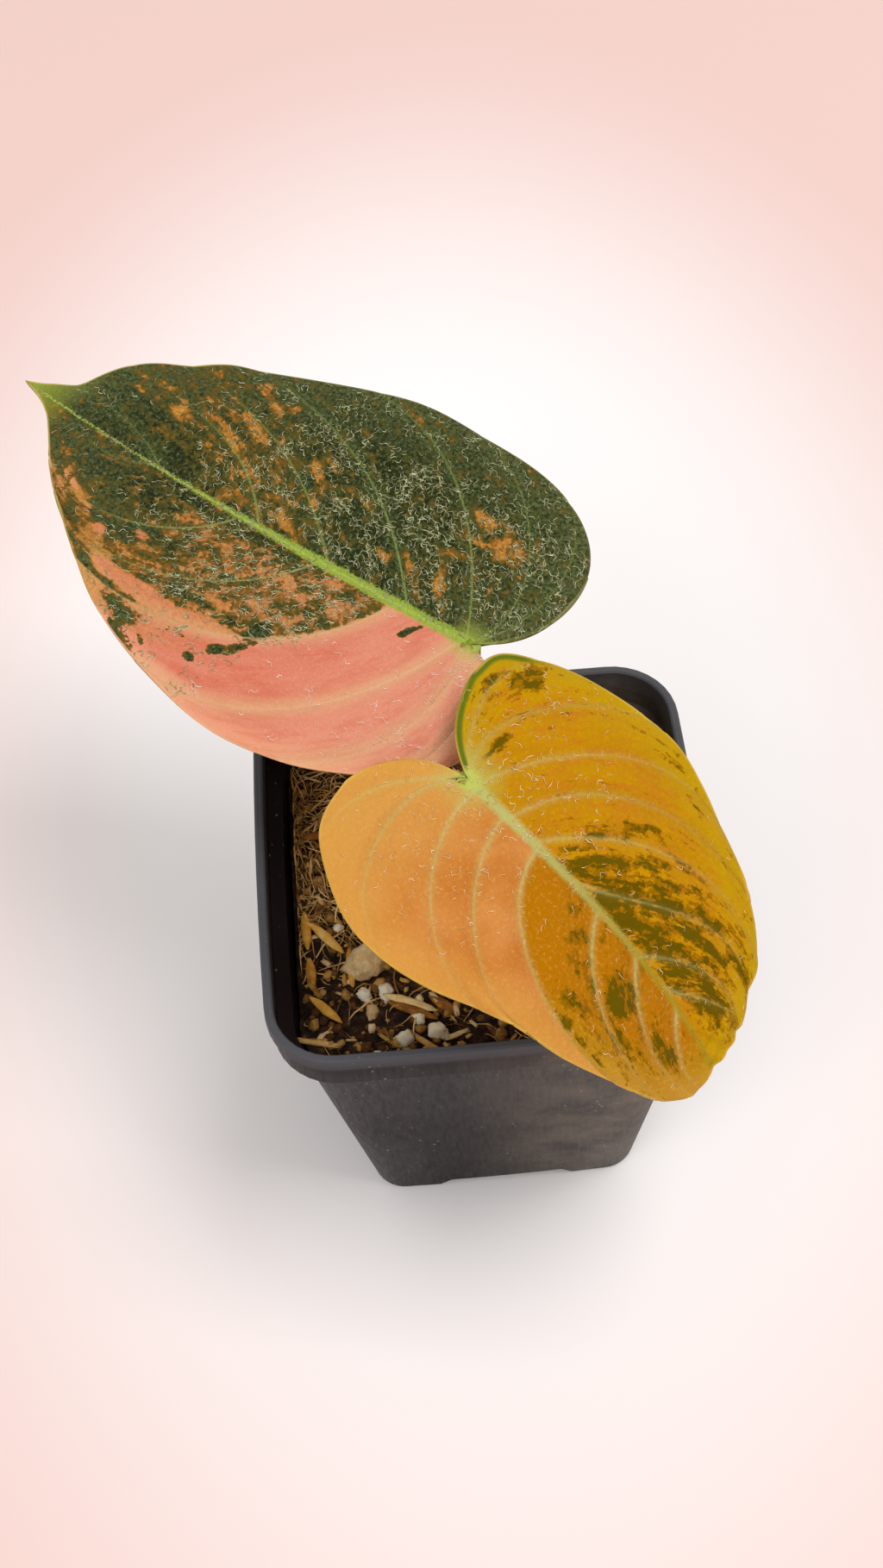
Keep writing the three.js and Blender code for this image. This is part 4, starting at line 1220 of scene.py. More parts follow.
def lay_over(tree, colour, *layers, **settings):
    """Tones laid over a colour in turn. A layer (measure, start, full, strength, tone, fades) begins where
    the measure passes start and has its strength where it passes full."""
    for measure, start, full, strength, tone, *fades in layers:
        share = add(tree, "MapRange", (measure, start, full, 0, strength), **settings)
        colour = add(tree, "Mix", (fade(tree, share, *fades), colour, tone), data_type="RGBA")
    return colour


def leaf_tree(name, *own):
    """A leaf's material and tree, its plan and flow, the blade's measures and the leaf's own ones."""
    material, tree = new_material(name)
    vectors = [add(tree, "Attribute", attribute_name=vector, out="Vector") for vector in ("plan", "flow")]
    numbers = [
        add(tree, "Attribute", attribute_name=number, out="Fac")
        for number in ("along", "off", "reach", "vein_gap", "rim_gap", "marbling", "upper", *own)
    ]
    return material, tree, *vectors, *numbers


def mosaic(tree, plan, flow, marbling, wave_mm, bend_mm, block_mm, blotches, streaks, start):
    """Green flakes: blotches in ragged blocks, and streaks in flakes that follow the veins, each given as
    (width in mm, detail, roughness, weight). It returns the ragged plan, the streaks and the level of
    green, which runs from 0 to 1 as marbling and noises add up to start and then to 2 more."""
    wave = add(tree, "TexNoise", {"Vector": plan, "Scale": 1 / wave_mm, "Detail": 3}, out="Color")
    shapes = []
    field = marbling
    for base, shift_mm, cell_mm, (width_mm, detail, roughness, weight) in (
        (plan, wave_mm, block_mm, blotches), (flow, bend_mm, FLAKE_WIDTH, streaks),
    ):
        bent = add(tree, "VectorMath", (wave, (shift_mm, shift_mm, 0), base), operation="MULTIPLY_ADD")
        cell = add(tree, "TexVoronoi", {"Vector": bent, "Scale": 1 / cell_mm}, out="Position")
        shape = add(tree, "TexNoise", {"Vector": cell, "Scale": 1 / width_mm, "Detail": detail,
                                       "Roughness": roughness})
        field = add(tree, "Math", (shape, weight, field), operation="MULTIPLY_ADD")
        shapes += [bent, shape]
    return shapes[0], shapes[3], add(tree, "MapRange", (field, start, start + 2))


def large_leaf_material(look):
    """Living leaf tissue with a velvety skin. Green cells lie over copper and salmon ones in a ragged
    mosaic, so the eye sees matt, mottled colour, cut by thin pale veins and a fuzzy lime midrib."""
    material, tree, plan, flow, along, off, reach, vein_gap, rim_gap, marbling, upper, pink, depth = (
        leaf_tree("velvety_variegated_leaf", "pink", "depth"))
    ragged, _, level = mosaic(
        tree, plan, flow, marbling, wave_mm=0.9, bend_mm=0.7, block_mm=0.55,
        blotches=(2.6, 6, 0.82, 3.8), streaks=(1.4, 6, 0.72, 2.2), start=2,
    )
    crumb, streak, cloud, speck, pile, quilt = (
        add(tree, "TexNoise", {"Vector": place, "Scale": 1 / width, "Detail": detail, "Roughness": rough})
        for place, width, detail, rough in (
            (plan, 0.45, 3, 0.5), (flow, 1.5, 6, 0.68), (plan, 8, 4, 0.5), (plan, 0.5, 3, 0.7),
            (ragged, 0.7, 5, 0.75), (flow, 2.5, 2, 0.5),
        )
    )
    from_notch = add(tree, "VectorMath", (plan,), operation="LENGTH")

    # green tissue: clouded, with painted sheen along the vein ridges and towards the margin, speckled, and
    # piled with painted highlights on the tips over painted shade in the pits
    green = lay_over(
        tree, look.dark_green,
        (cloud, 0.38, 0.62, 1, look.grey_green),
        # painted sheen on the ridges along the veins
        (vein_gap, 2.6, 0.2, 0.5, "#58663a"),
        # painted sheen towards the margin
        (rim_gap, 14, 1, 0.6, "#626b3e"),
        (speck, 0.42, 0.66, 0.7, "#1a200a"),
        # painted highlights on the pile's tips, then painted shade in its pits
        (pile, 0.52, 0.68, 0.75, "#7c875a"),
        (pile, 0.5, 0.4, 0.85, "#13190a"),
    )

    # tissue without green: salmon and peach on the pale half, with fine pale nerves and darker streaks, and
    # copper on the dark half
    salmon = lay_over(
        tree, add(tree, "Mix", (depth, look.pink, look.salmon), data_type="RGBA"),
        (crumb, 0.5, 0.75, 0.3, "#eeb090"),
        (rim_gap, 4, 0.3, 0.7, "#e8a07a"),
        (streak, 0.42, 0.68, 0.35, "#e29b80"),
        (streak, 0.5, 0.36, 0.4, "#cd6a52"),
    )
    salmon = lay_over(tree, salmon, (vein_gap, 2.8, 0.1, 0.5, "#dcb082"), interpolation_type="SMOOTHSTEP")
    # copper, paler where the green is far off, with painted shade in the pile's pits
    copper = lay_over(tree, look.copper, (level, 0.5, 0.2, 1, "#cc9040"), (pile, 0.56, 0.38, 0.7, "#6f4a18"))
    warm = add(tree, "Mix", (pink, copper, salmon), data_type="RGBA")

    # where the two meet the green is thin, and shows as brown and then as olive; the side veins are
    # thin and beaded, and the fuzz of the narrowing midrib blurs its sides
    beads = add(tree, "Math", (speck, 0.8, vein_gap), operation="MULTIPLY_ADD")
    vein_tone = add(tree, "Mix", (pink, "#84924a", "#d9ae80"), data_type="RGBA")
    rib_half = add(tree, "MapRange", (along, 26, 70, 1.15, 0.15))
    rib_edge = add(tree, "Math", (crumb, 1.6, off), operation="MULTIPLY_ADD")
    rib_side = add(tree, "Math", (rib_edge, rib_half), operation="SUBTRACT")
    on_blade = add(tree, "MapRange", (along, -3, -0.5))
    # a thin translucent line runs round the pale margin
    line_shown = add(tree, "MapRange", (along, 35, 75, 0.15, 0.8))
    line_shown = add(tree, "Math", (pink, line_shown), operation="MAXIMUM")
    line_tone = add(tree, "Mix", (pink, look.margin, "#e6ab80"), data_type="RGBA")
    tissue = lay_over(
        tree, warm,
        (level, 0.44, 0.53, 1, "#77531b"),
        (level, 0.53, 0.66, 1, "#504a1c"),
        (level, 0.62, 0.86, 1, green),
        (along, 84, 94, 1, "#8f9a3a"),
        (beads, 0.74, 0.46, 1, vein_tone, (reach, 1, 0.2, 0.12, 0.75), (along, 58, 68, 1, 0.3)),
        (rib_side, 0.95, 0.45, 0.92, look.midrib, on_blade),
        (rib_edge, 1.1, 0.75, 0.6, "#bcc964", on_blade),
        (from_notch, 4.5, 0.5, 0.7, "#a3b244"),
        (rim_gap, 0.36, 0.1, 1, line_tone, line_shown),
    )
    under = add(tree, "Mix", (0.55, tissue, "#8a8552"), data_type="RGBA")
    colour = add(tree, "Mix", (upper, under, tissue), data_type="RGBA")

    # the velvet pile, on quilted tissue
    relief = add(tree, "Math", (pile, 0.6, quilt), operation="MULTIPLY_ADD")
    shine = add(tree, "MapRange", (crumb, 0.3, 0.7, 0.45, 0.62))
    finish_material(tree, {
        "Base Color": colour, "Roughness": shine, "Specular IOR Level": 0.2, "Specular Tint": "#c9cc92",
    }, relief, 0.4)
    return material


def small_leaf_material(look):
    """Young leaf tissue with a waxy skin: peach, amber and gold, streaked with olive. The eye sees
    smooth, saturated colour with soft highlights, and pale veins that fade towards the margin."""
    material, tree, plan, flow, along, off, reach, vein_gap, rim_gap, marbling, upper, amber, gold, rolled = (
        leaf_tree("waxy_variegated_leaf", "amber", "gold", "rolled"))
    ragged, streak, level = mosaic(
        tree, plan, flow, marbling, wave_mm=0.8, bend_mm=0.8, block_mm=0.5,
        blotches=(2.2, 5, 0.75, 4.4), streaks=(1.5, 5, 0.72, 5.4), start=3.9,
    )
    cloud, crumb, pebble_and_glint, quilt = (
        add(tree, "TexNoise", {"Vector": place, "Scale": 1 / width, "Detail": detail, "Roughness": rough})
        for place, width, detail, rough in (
            (plan, 9, 3, 0.5), (plan, 0.5, 3, 0.5), (ragged, 0.7, 5, 0.72), (plan, 2.2, 2, 0.5),
        )
    )
    from_notch = add(tree, "VectorMath", (plan,), operation="LENGTH")

    # tissue without green: peach, amber beyond the sixth vein, and gold on the other half, each with its
    # own tone by the margin
    clouds = (cloud, 0.38, 0.62, 1)
    margin = (rim_gap, 8, 0.5, 0.85)
    peach = lay_over(
        tree, look.peach, (*clouds, "#cb8544"), (along, 10, -6, 1, "#cd9246"), (*margin, "#cf9443"))
    ripe = lay_over(tree, look.amber, (*margin, "#b08c14"))
    yellow = lay_over(tree, look.gold, (*clouds, "#b67e0b"), (*margin, look.margin))
    tissue = add(tree, "Mix", (amber, peach, ripe), data_type="RGBA")
    tissue = add(tree, "Mix", (gold, tissue, yellow), data_type="RGBA")

    # rusty streaks and painted highlights on the pebbled skin, and green over them: brown where it is thin,
    # olive where it is solid
    painted_pebble_glint = add(tree, "Mix", (gold, "#e2a24a", "#d89f0c"), data_type="RGBA")
    tissue = lay_over(
        tree, tissue,
        (streak, 0.46, 0.6, 0.7, "#bd7118", (rim_gap, 1, 7, 0.25, 1), gold),
        # painted highlights on the tops of the pebbled skin
        (pebble_and_glint, 0.52, 0.7, 0.5, painted_pebble_glint),
        (level, 0.34, 0.48, 0.85, "#8e5f02"),
        (level, 0.6, 0.74, 0.85, look.olive),
    )

    # side veins: broad and pale by the midrib, fading outwards, with a thin core
    faint = add(tree, "Math", (gold, -0.35, 1), operation="MULTIPLY_ADD")
    outwards = add(tree, "MapRange", (reach, 0.95, 0.1, 0.06, 0.75))
    outwards = fade(tree, outwards, (pebble_and_glint, 0.38, 0.58, 0.45, 1), faint)
    tissue = lay_over(
        tree, tissue, (vein_gap, 1.3, 0.1, 0.6, look.vein, outwards, (level, 0.45, 0.75, 1, 0.35)),
        interpolation_type="SMOOTHSTEP",
    )
    rib_half = add(tree, "MapRange", (along, 0, 60, 1, 0.25))
    rib_edge = add(tree, "Math", (crumb, 1, off), operation="MULTIPLY_ADD")
    rib_side = add(tree, "Math", (rib_edge, rib_half), operation="SUBTRACT")
    rib_tone = lay_over(tree, look.midrib, (along, 12, 42, 1, "#9c8a26"))
    tissue = lay_over(
        tree, tissue,
        (vein_gap, 0.45, 0.1, 0.65, "#bcbf78", outwards),
        (rib_side, 0.95, 0.1, 0.9, rib_tone, (along, -3, -0.5, 0, 1)),
        (from_notch, 6.5, 0.5, 0.6, "#b0b862"),
    )
    tissue = add(tree, "Mix", (rolled, tissue, "#5d6d18"), data_type="RGBA")
    tissue = lay_over(tree, tissue, (rim_gap, 0.35, 0.1, 0.7, "#d3ab4a"))
    under = add(tree, "Mix", (0.4, tissue, "#b39a4e"), data_type="RGBA")
    colour = add(tree, "Mix", (upper, under, tissue), data_type="RGBA")
    # at the notch the blade folds over itself and shows no underside: the junction's pale green is laid over
    # both faces, partly its own colour and partly painted light over the shade in the fold
    colour = lay_over(tree, colour, (from_notch, 2.6, 1.2, 0.9, "#b9bf5a"))

    relief = add(tree, "Math", (pebble_and_glint, 0.4, quilt), operation="MULTIPLY_ADD")
    shine = add(tree, "MapRange", (crumb, 0.3, 0.7, 0.22, 0.36))
    finish_material(tree, {
        "Base Color": colour, "Roughness": shine, "Specular IOR Level": 0.16, "Specular Tint": "#e6aa30",
    }, relief, 0.5)
    return material


# What the loose pieces of the mix look like: the name of the finish, its tones, the widths of its
# patches and its grain and the grain's depth in millimetres, its roughness and its specular level
LOOSE_LOOKS = {
    # moist peat with fine bark: from near black to tan, in drifting patches
    "soil_surface": (
        "moist_peat_and_bark", [(0.4, "#120b07"), (0.48, "#26180f"), (0.55, "#432b17"), (0.62, "#7a5a33")],
        1.6, 0.4, 0.3, 0.95, 0.3),
    # dry crumbs of peat and bark: matt, dark brown to tan
    "crumbs": (
        "dry_peat_crumbs", [(0.22, "#24150b"), (0.4, "#5a391b"), (0.55, "#96692f"), (0.7, "#cf9f55")],
        1.2, 0.3, 0.3, 0.95, 0.3),
    # volcanic glass popped by heat: cream white, pitted and stained by the peat
    "perlite": (
        "expanded_perlite", [(0.3, "#e6c084"), (0.42, "#ffe6b6"), (0.6, "#fff6da")],
        1.1, 0.25, 0.25, 0.9, 0.3),
    # dry rice hulls: straw to amber, with a slight husk shine
    "rice_hulls": (
        "dry_rice_hull", [(0.28, "#8a5210"), (0.42, "#cc8620"), (0.56, "#f0b547"), (0.75, "#ffe6a0")],
        1.6, 0.3, 0.2, 0.6, 0.4),
    # shredded bark: fibrous splinters, from dark brown to bleached tan
    "bark_strips": (
        "shredded_bark", [(0.26, "#553315"), (0.42, "#a36f2c"), (0.55, "#d7a552"), (0.72, "#f0d196")],
        1.4, 0.3, 0.3, 0.85, 0.3),
    # coir and fine roots: wiry, tan threads
    "coir_fibres": (
        "coir_fibre", [(0.28, "#5a3a18"), (0.5, "#b0803e"), (0.72, "#edc684")], 4, 0.4, 0.1, 0.8, 0.3),
}


def loose_material(piece):
    """A crumbly material: each loose piece has its own tint, patches drift over it and a grain roughens
    it. On one whole surface the tint is 0.5 throughout."""
    name, tones, patch_width, grain_width, depth, roughness, specular = LOOSE_LOOKS[piece]
    material, tree = new_material(name)
    place = add(tree, "TexCoord", out="Object")
    patch, grain = (
        add(tree, "TexNoise", {"Vector": place, "Scale": 1 / width / MM, "Detail": detail,
                               "Roughness": rough})
        for width, detail, rough in ((patch_width, 6, 0.62), (grain_width, 4, 0.7))
    )
    tint = add(tree, "Attribute", attribute_name="tint", out="Fac")
    colour = add(tree, "ValToRGB", (add(tree, "Mix", (0.5, patch, tint)),), stops=tones)
    shader = {"Base Color": colour, "Roughness": roughness, "Specular IOR Level": specular}
    finish_material(tree, shader, grain, depth)
    return material


def pot_material(look):
    """Black polypropylene, moulded thin and used many times. The eye sees a satin skin with fine scratches
    down the sides, pale dusty clouds on the right that are partly painted light, the left side kept dark as
    painted shade, and a few pale splashes of mix."""
    material, tree = new_material("moulded_black_polypropylene")
    place = add(tree, "TexCoord", out="Object")
    x, z = (add(tree, "SeparateXYZ", (place,), out=axis) for axis in "XZ")
    drawn_down = add(tree, "Mapping", {"Vector": place, "Scale": (1, 1, 0.12)})
    cloud, group, scratch, grain = (
        add(tree, "TexNoise", {"Vector": where, "Scale": 1 / width / MM, "Detail": detail,
                               "Roughness": rough})
        for where, width, detail, rough in (
            (place, 12, 6, 0.65), (place, 5, 3, 0.5), (drawn_down, 0.8, 4, 0.7), (place, 0.35, 3, 0.5),
        )
    )
    # pale clouds kept to the right: partly dried dust and partly painted light on the lit right side, with
    # the left kept dark as painted shade
    dust_and_painted_light = fade(tree, add(tree, "MapRange", (cloud, 0.36, 0.6, 0.25, 1)),
                (x, -8 * MM, 22 * MM, 0, 0.95), (x, 27 * MM, 34 * MM, 1, 0.4))
    # splashes up to 0.6 mm wide, in loose groups, and a rim lighter grey at the top, partly from wear and
    # partly as a painted highlight on its upward faces
    splash = add(tree, "TexVoronoi", {"Vector": place, "Scale": 1 / (1.7 * MM)}, out="Distance")
    colour = lay_over(
        tree, add(tree, "Mix", (dust_and_painted_light, look.plastic, look.dust_and_painted_light), data_type="RGBA"),
        (splash, 0.17, 0.08, 0.7, "#a59c90", (group, 0.5, 0.62, 0, 1)),
        # lighter grey at the rim: partly wear, partly painted highlight
        (z, 70 * MM, 74.6 * MM, 0.8, "#55565b"),
    )
    relief = add(tree, "Math", (scratch, 0.7, grain), operation="MULTIPLY_ADD")
    shine = add(tree, "MapRange", (scratch, 0.3, 0.7, 0.34, 0.5))
    shine = add(tree, "Math", (dust_and_painted_light, 0.25, shine), operation="MULTIPLY_ADD")
    shader = {"Base Color": colour, "Roughness": shine, "IOR": 1.49, "Specular IOR Level": 0.1}
    finish_material(tree, shader, relief, 0.03)
    return material


def stalk_material(look):
    """Young stalk tissue, ribbed and rough with tiny warts: pinkish tan below the blades and greener
    towards the stem."""
    material, tree = new_material("ribbed_leaf_stalk")
    place = add(tree, "TexCoord", out="Object")
    z = add(tree, "SeparateXYZ", (place,), out="Z")
    drawn_up = add(tree, "Mapping", {"Vector": place, "Scale": (1, 1, 0.25)})
    rib = add(tree, "TexNoise", {"Vector": drawn_up, "Scale": 1 / (1.1 * MM), "Detail": 4})
    warts = add(tree, "TexVoronoi", {"Vector": drawn_up, "Scale": 1 / (0.8 * MM)}, out="Distance")
    colour = lay_over(
        tree, look.stem_green,
        (z, 72 * MM, 98 * MM, 1, look.stalk_tan),
        (rib, 0.42, 0.66, 0.6, "#d8b284"),
        (warts, 0.3, 0.1, 0.4, "#8f9a52"),
        (z, 101 * MM, 103.2 * MM, 1, "#a3b04e"),
    )
    wart = add(tree, "MapRange", (warts, 0.3, 0.1, 0, 0.4))
    relief = add(tree, "Math", (rib, wart), operation="ADD")
    finish_material(tree, {"Base Color": colour, "Roughness": 0.46, "Specular IOR Level": 0.3}, relief, 0.1)
    return material


def stem_material():
    """Young stem with a thin bark: green, greyed by cork that starts in spots of 3 mm."""
    material, tree = new_material("young_green_stem")
    place = add(tree, "TexCoord", out="Object")
    patch = add(tree, "TexNoise", {"Vector": place, "Scale": 1 / (3 * MM), "Detail": 5.0, "Roughness": 0.62})
    colour = add(tree, "ValToRGB", {"Fac": patch},
                 stops=[(0.3, "#4c5a2a"), (0.5, "#6f7a3e"), (0.7, "#8d8a4f"), (0.85, "#a98d5c")])
    grain = add(tree, "TexNoise", {"Vector": place, "Scale": 1 / (0.5 * MM), "Detail": 4.0, "Roughness": 0.7})
    finish_material(tree, {"Base Color": colour, "Roughness": 0.55, "Specular IOR Level": 0.3}, grain, 0.15)
    return material


def hair_material(name, over_dark, over_pale):
    """Leaf hairs, clear and wet-looking, with painted glints. They take on some of the colour below them as
    painted see-through colour, so each one's tint says how pale its ground is."""
    material, tree = new_material(name)
    tint = add(tree, "Attribute", attribute_name="tint", out="Fac")
    place = add(tree, "TexCoord", out="Object")
    glint = add(tree, "TexNoise", {"Vector": place, "Scale": 1 / (0.7 * MM), "Detail": 1})
    # painted glints along each hair
    tones = [lay_over(tree, dull, (glint, 0.4, 0.65, 1, bright)) for dull, bright in (over_dark, over_pale)]
    colour = add(tree, "Mix", (tint, *tones), data_type="RGBA")
    finish_material(tree, {"Base Color": colour, "Roughness": 0.3, "Specular IOR Level": 0.25})
    return material


def floor_material(look):
    """Matt white paper, with a painted light falloff: it turns pinker and darker away from the plant, in an
    oval.
    """
    material, tree = new_material("matte_paper_floor")
    place = add(tree, "TexCoord", out="Object")
    oval = add(tree, "Mapping", {"Vector": place, "Location": (0, -0.42, 0), "Scale": (9, 5.6, 1)})
    away = add(tree, "VectorMath", (oval,), operation="LENGTH")
    # painted light falloff, pinker and darker away from the plant
    colour = lay_over(tree, look.floor, (away, 0.5, 1.45, 1, look.painted_falloff), interpolation_type="SMOOTHSTEP")
    finish_material(tree, {"Base Color": colour, "Roughness": 0.9, "Specular IOR Level": 0.1})
    return material


# Leaves

def large_measures(plan, measures):
    """Green on the dark half, marbled beyond the sixth vein of the pale half, and pink before it."""
    across, along, row = measures["across"], measures["along"], measures["row"]
    base = 0.72 + smooth(-across, -0.2, 0.6) * (1.84 * smooth(row, 9.93, 10.12) - 2.42)
    measures["marbling"] = base + patch_field(plan, LARGE_PATCHES + LARGE_SALMON + LARGE_ISLANDS)
    towards_tip = smooth(along, 30, 62) * (row > 9)
    pink = smooth(-across, 0, 1.2) * (1 - 0.75 * towards_tip) * (1 - 0.7 * smooth(row, 9.9, 10.2))
    measures["pink"] = np.maximum(pink, 0.6 * smooth(-patch_field(plan, LARGE_SALMON), 0.25, 0.7))
    deep = smooth(row, 6.2, 8.4) * (0.4 + 0.6 * smooth(along, 12, 21))
    measures["depth"] = deep * (1 - 0.8 * smooth(measures["reach"], 0.72, 1))


def small_measures(plan, measures):
    """Amber beyond the sixth vein, gold on one half, olive marbling, and a lobe with a rolled edge."""
    across, row = measures["across"], measures["row"]
    measures["amber"] = smooth(row, 9.85, 10.2) * (1 - 0.35 * smooth(measures["reach"], 0.6, 1))
    measures["gold"] = smooth(-across, -0.5, 0.5)
    clear = (1 - measures["amber"]) * (1 - measures["gold"])
    measures["marbling"] = patch_field(plan, SMALL_PATCHES) - 1.15 - 1.2 * clear
    lobe = (across < 0) * smooth(-measures["along"], 0, 2) * smooth(-row, -2.6, -1.6)
    measures["rolled"] = lobe * smooth(-measures["rim_gap"], -1.3, -0.7)


def crumpled_tip(plan):
    """The small leaf's tip is crumpled along a few short folds."""
    u, v = plan[:, 0], plan[:, 1]
    near = smooth(u, 51, 58) * smooth(-v, -2, 1) * smooth(v, -10, -6)
    folds = 0.55 * np.sin(1.1 * u + 1.6 * v) + 0.3 * np.sin(2.3 * u - 1.2 * v + 1)
    return near * folds * 0.5


def leaf_piece(name, blade, steps, thickness, add_measures, material, relief=None):
    """A blade with its measures, its thickness and its material, in place of its CAD node."""
    sheet, plan, measures = blade_sheet(name, blade, *steps, relief)
    add_measures(plan, measures)
    for measure, values in measures.items():
        store(sheet.data, measure, values)
    thicken(sheet, blade, thickness)
    dress(sheet, material, name, "blade_" + name)
    return sheet


# Settings

def colour_setting(name, description, tone):
    return bpy.props.FloatVectorProperty(
        name=name, description=description, default=linear(tone), size=4, subtype="COLOR", min=0, max=1)


def size_setting(name, description, millimetres):
    return bpy.props.FloatProperty(
        name=name, description=description, default=millimetres * MM, subtype="DISTANCE", unit="LENGTH",
        min=0)


def count_setting(name, description, number):
    return bpy.props.IntProperty(name=name, description=description, default=number, min=0)


class PotSettings(bpy.types.PropertyGroup):
    wall: size_setting("Wall", "Thickness of the pot's wall", 0.9)
    plastic: colour_setting("Plastic", "Colour of the clean plastic", "#1a1011")
    # the dust colour is laid on the right side only, partly as painted light
    dust_and_painted_light: colour_setting("Dust", "Colour of the dried dust on the right of the pot", "#756d63")


class MixSettings(bpy.types.PropertyGroup):
    crumbs: count_setting("Crumbs", "Loose crumbs on the potting mix", 900)
    perlite: count_setting("Perlite", "Perlite grains besides the placed ones", 34)
    hulls: count_setting("Hulls", "Rice hulls besides the placed ones", 26)
    strips: count_setting("Strips", "Splinters of bark besides the placed ones", 340)
    fibres: count_setting("Fibres", "Coir fibres on the potting mix", 900)


class StalkSettings(bpy.types.PropertyGroup):
    stem_green: colour_setting("Stem", "Colour of the stem", "#66733a")
    stalk_tan: colour_setting("Stalk", "Colour of the stalks below the blades", "#b07f5a")


class LargeLeafSettings(bpy.types.PropertyGroup):
    thickness: size_setting("Thickness", "Thickness of the large blade", 0.45)
    hairs: count_setting("Hairs", "Curly hairs on the large blade", 2300)
    dark_green: colour_setting("Dark green", "Darkest tissue", "#1c230b")
    grey_green: colour_setting("Grey green", "Lighter green tissue", "#2d3516")
    copper: colour_setting("Copper", "Flecks on the dark half", "#ad7330")
    salmon: colour_setting("Salmon", "Deeper colour of the pale half", "#d1735a")
    pink: colour_setting("Pink", "Lighter colour of the pale half", "#dc8a70")
    midrib: colour_setting("Midrib", "Lime midrib", "#98ae40")
    margin: colour_setting("Margin", "Thin line round the margin", "#c6b45a")


class SmallLeafSettings(bpy.types.PropertyGroup):
    thickness: size_setting("Thickness", "Thickness of the small blade", 0.45)
    hairs: count_setting("Hairs", "Curly hairs on the small blade", 360)
    peach: colour_setting("Peach", "Peach tissue", "#bf742f")
    amber: colour_setting("Amber", "Amber tissue", "#ae6d02")
    gold: colour_setting("Gold", "Golden tissue of the other half", "#bb8703")
    olive: colour_setting("Olive", "Olive streaks", "#544a02")
    vein: colour_setting("Vein", "Pale veins", "#bdae66")
    midrib: colour_setting("Midrib", "Pale green midrib", "#b3b56c")
    margin: colour_setting("Margin", "Yellow tissue towards the margin", "#b6940c")


class StageSettings(bpy.types.PropertyGroup):
    floor: colour_setting("Floor", "Pale floor", "#faf6f5")
    # the pink at the floor's edges is a painted light falloff
    painted_falloff: colour_setting("Blush", "Warm edge of the floor", "#eacac3")
    key_power: bpy.props.FloatProperty(
        name="Key light", description="Power of the soft light above", default=19.0, min=0, unit="POWER",
    )
    ambient: bpy.props.FloatProperty(
        name="Ambient", description="Strength of the pale surroundings", default=0.64, min=0,
    )


SETTINGS = {
    "aroid_pot": PotSettings, "aroid_mix": MixSettings, "aroid_stalks": StalkSettings,
    "aroid_large_leaf": LargeLeafSettings, "aroid_small_leaf": SmallLeafSettings,
    "aroid_stage": StageSettings,
}


# Operators

class AROID_OT_pot(bpy.types.Operator):
    """Mould the square nursery pot"""
    bl_idname = "aroid.pot"
    bl_label = "Nursery Pot"

    def execute(self, context):
        look = context.scene.aroid_pot
        outside, cavity = pot_bodies(look.wall / MM)
        cut(cavity, channel_wedges(CHANNEL["roof_thickness"]))
        cut(outside, channel_wedges(0))
        cut(outside, cavity)
        cut(outside, drain_slots())
        dress(outside, pot_material(look), "pot_plastic", "pot", angle=32)
        return {"FINISHED"}


class AROID_OT_mix(bpy.types.Operator):
    """Fill the pot with potting mix and lay its loose grains, hulls and fibres on top"""
    bl_idname = "aroid.mix"
    bl_label = "Potting Mix"

    def execute(self, context):
        settings = context.scene.aroid_mix
        surface = mix_body()
        store(surface.data, "tint", [0.5] * len(surface.data.vertices))
        dress(surface, loose_material("soil_surface"), "potting_mix", "soil")
        draw = random.Random(5)
        pieces = [
            copies("crumbs", lump_shape(1, 0.45, 3.0), crumb_places(draw, settings.crumbs), 21),
            copies("perlite", lump_shape(3, 0.34, 8.0), perlite_places(draw, settings.perlite), 22),
            copies("rice_hulls", hull_shape(), hull_places(draw, settings.hulls), 23),
            copies("bark_strips", strip_shape(), strip_places(draw, settings.strips), 24),
            tube_mesh("coir_fibres", *fibre_paths(draw, settings.fibres), sides=4),
        ]
        for piece in pieces:
            dress(piece, loose_material(piece.name), "potting_mix")
        return {"FINISHED"}


class AROID_OT_stalks(bpy.types.Operator):
    """Grow the stem and the two leaf stalks"""
    bl_idname = "aroid.stalks"
    bl_label = "Stem and Stalks"

    def execute(self, context):
        settings = context.scene.aroid_stalks
        look = stalk_material(settings)
        dress(stem_body(), stem_material(), "stem", "stem")
        large = stalk_body("stalk_large_leaf", "large", LARGE_PLAN["notch"])
        small = stalk_body("stalk_small_leaf", "small", SMALL_PLAN["notch"])
        dress(large, look, "leaf_stalk", "petiole_large_leaf")
        dress(small, look, "leaf_stalk", "petiole_small_leaf")
        return {"FINISHED"}


class AROID_OT_large_leaf(bpy.types.Operator):
    """Form the large, dark and pink blade with its curly hairs"""
    bl_idname = "aroid.large_leaf"
    bl_label = "Large Leaf"

    def execute(self, context):
        look = context.scene.aroid_large_leaf
        blade = Blade(LARGE_PLAN)
        sheet = leaf_piece(
            "large_leaf", blade, (16, 62), look.thickness, large_measures, large_leaf_material(look))
        roots = large_hair_roots(look.hairs, 31) + fuzz_roots(blade, 380, 32, 0.3)
        hairs = hair_tubes("hairs_large_leaf", sheet, blade, roots, 33)
        wet_hair = hair_material("clear_hair", ("#6c7743", "#ccd5a2"), ("#f6c8ae", "#fff4e6"))
        dress(hairs, wet_hair, "large_leaf")
        return {"FINISHED"}


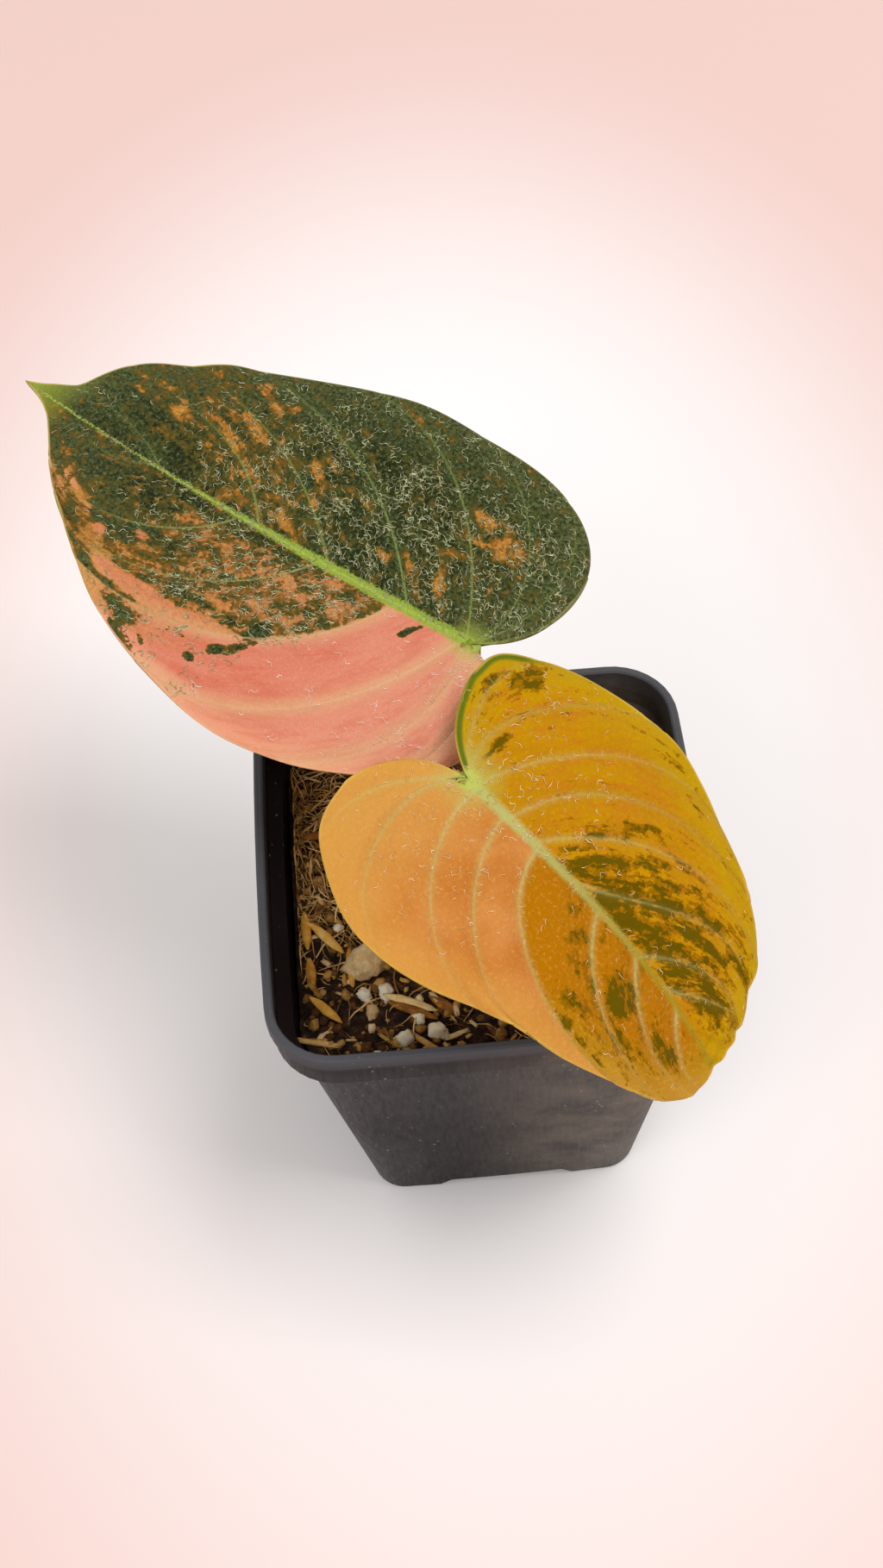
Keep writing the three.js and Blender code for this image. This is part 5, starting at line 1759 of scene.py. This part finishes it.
class AROID_OT_small_leaf(bpy.types.Operator):
    """Form the small, amber blade with its few hairs"""
    bl_idname = "aroid.small_leaf"
    bl_label = "Small Leaf"

    def execute(self, context):
        look = context.scene.aroid_small_leaf
        blade = Blade(SMALL_PLAN)
        sheet = leaf_piece(
            "small_leaf", blade, (14, 52), look.thickness, small_measures, small_leaf_material(look),
            crumpled_tip)
        roots = small_hair_roots(look.hairs, 41) + fuzz_roots(blade, 120, 42, 0.6)
        hairs = hair_tubes("hairs_small_leaf", sheet, blade, roots, 43)
        gold_hair = hair_material("clear_golden_hair", ("#e0ab48", "#ffedb4"), ("#eeb876", "#fff2d8"))
        dress(hairs, gold_hair, "small_leaf")
        return {"FINISHED"}


class AROID_OT_stage(bpy.types.Operator):
    """Set the pale floor, the soft lights and the camera"""
    bl_idname = "aroid.stage"
    bl_label = "Stage"

    def execute(self, context):
        look = context.scene.aroid_stage
        scene = context.scene
        floor = new_primitive("plane", size=6)
        floor.name = "floor"
        floor.data.materials.append(floor_material(look))

        world = bpy.data.worlds.new("pale_room")
        world.use_nodes = True
        background = world.node_tree.nodes["Background"]
        background.inputs["Color"].default_value = (1.0, 0.985, 0.975, 1.0)
        background.inputs["Strength"].default_value = look.ambient
        scene.world = world
        for name, place, size, power in (
            ("key", (0.7, -0.2, 1.9), 0.9, look.key_power),
            ("fill", (-1.0, -1.2, 1.5), 1.2, look.key_power * 0.5),
        ):
            lamp = new_object(name, bpy.data.lights.new(name, "AREA"))
            lamp.data.energy = power
            lamp.data.size = size
            lamp.location = place
            lamp.rotation_euler = (PLANT_CENTRE - lamp.location).to_track_quat("-Z", "Y").to_euler()

        camera = new_object("camera", bpy.data.cameras.new("camera"))
        camera.data.sensor_fit = "VERTICAL"
        camera.data.sensor_height = 36
        camera.data.lens = FOCAL_PIXELS / PHOTO_HEIGHT * camera.data.sensor_height
        camera.data.clip_start = 0.01
        camera.matrix_world = (
            Matrix.Translation(Vector(CAMERA_PLACE) * MM)
            @ Matrix.Rotation(math.radians(90 - CAMERA_DOWN), 4, "X")
            @ Matrix.Rotation(math.radians(CAMERA_ROLL), 4, "Z")
        )
        scene.camera = camera
        scene.view_settings.view_transform = "Standard"
        return {"FINISHED"}


class AROID_PT_panel(bpy.types.Panel):
    """Sizes, colours and steps of the potted plant"""
    bl_idname = "AROID_PT_panel"
    bl_label = "Potted Climbing Aroid"
    bl_space_type = "VIEW_3D"
    bl_region_type = "UI"
    bl_category = "Potted Plant"

    def draw(self, context):
        for operator in OPERATORS:
            self.layout.operator(operator.bl_idname)
        for name, group in SETTINGS.items():
            box = self.layout.box()
            settings = getattr(context.scene, name)
            for prop in group.__annotations__:
                box.prop(settings, prop)


OPERATORS = (
    AROID_OT_stage, AROID_OT_pot, AROID_OT_mix, AROID_OT_stalks, AROID_OT_large_leaf, AROID_OT_small_leaf,
)
CLASSES = (*SETTINGS.values(), *OPERATORS, AROID_PT_panel)


def register():
    for cls in CLASSES:
        bpy.utils.register_class(cls)
    for name, group in SETTINGS.items():
        setattr(bpy.types.Scene, name, bpy.props.PointerProperty(type=group))


def unregister():
    for name in SETTINGS:
        delattr(bpy.types.Scene, name)
    for cls in reversed(CLASSES):
        bpy.utils.unregister_class(cls)


def main():
    register()
    for operator in OPERATORS:
        getattr(bpy.ops.aroid, operator.bl_idname.split(".")[1])()


if __name__ == "__main__":
    main()
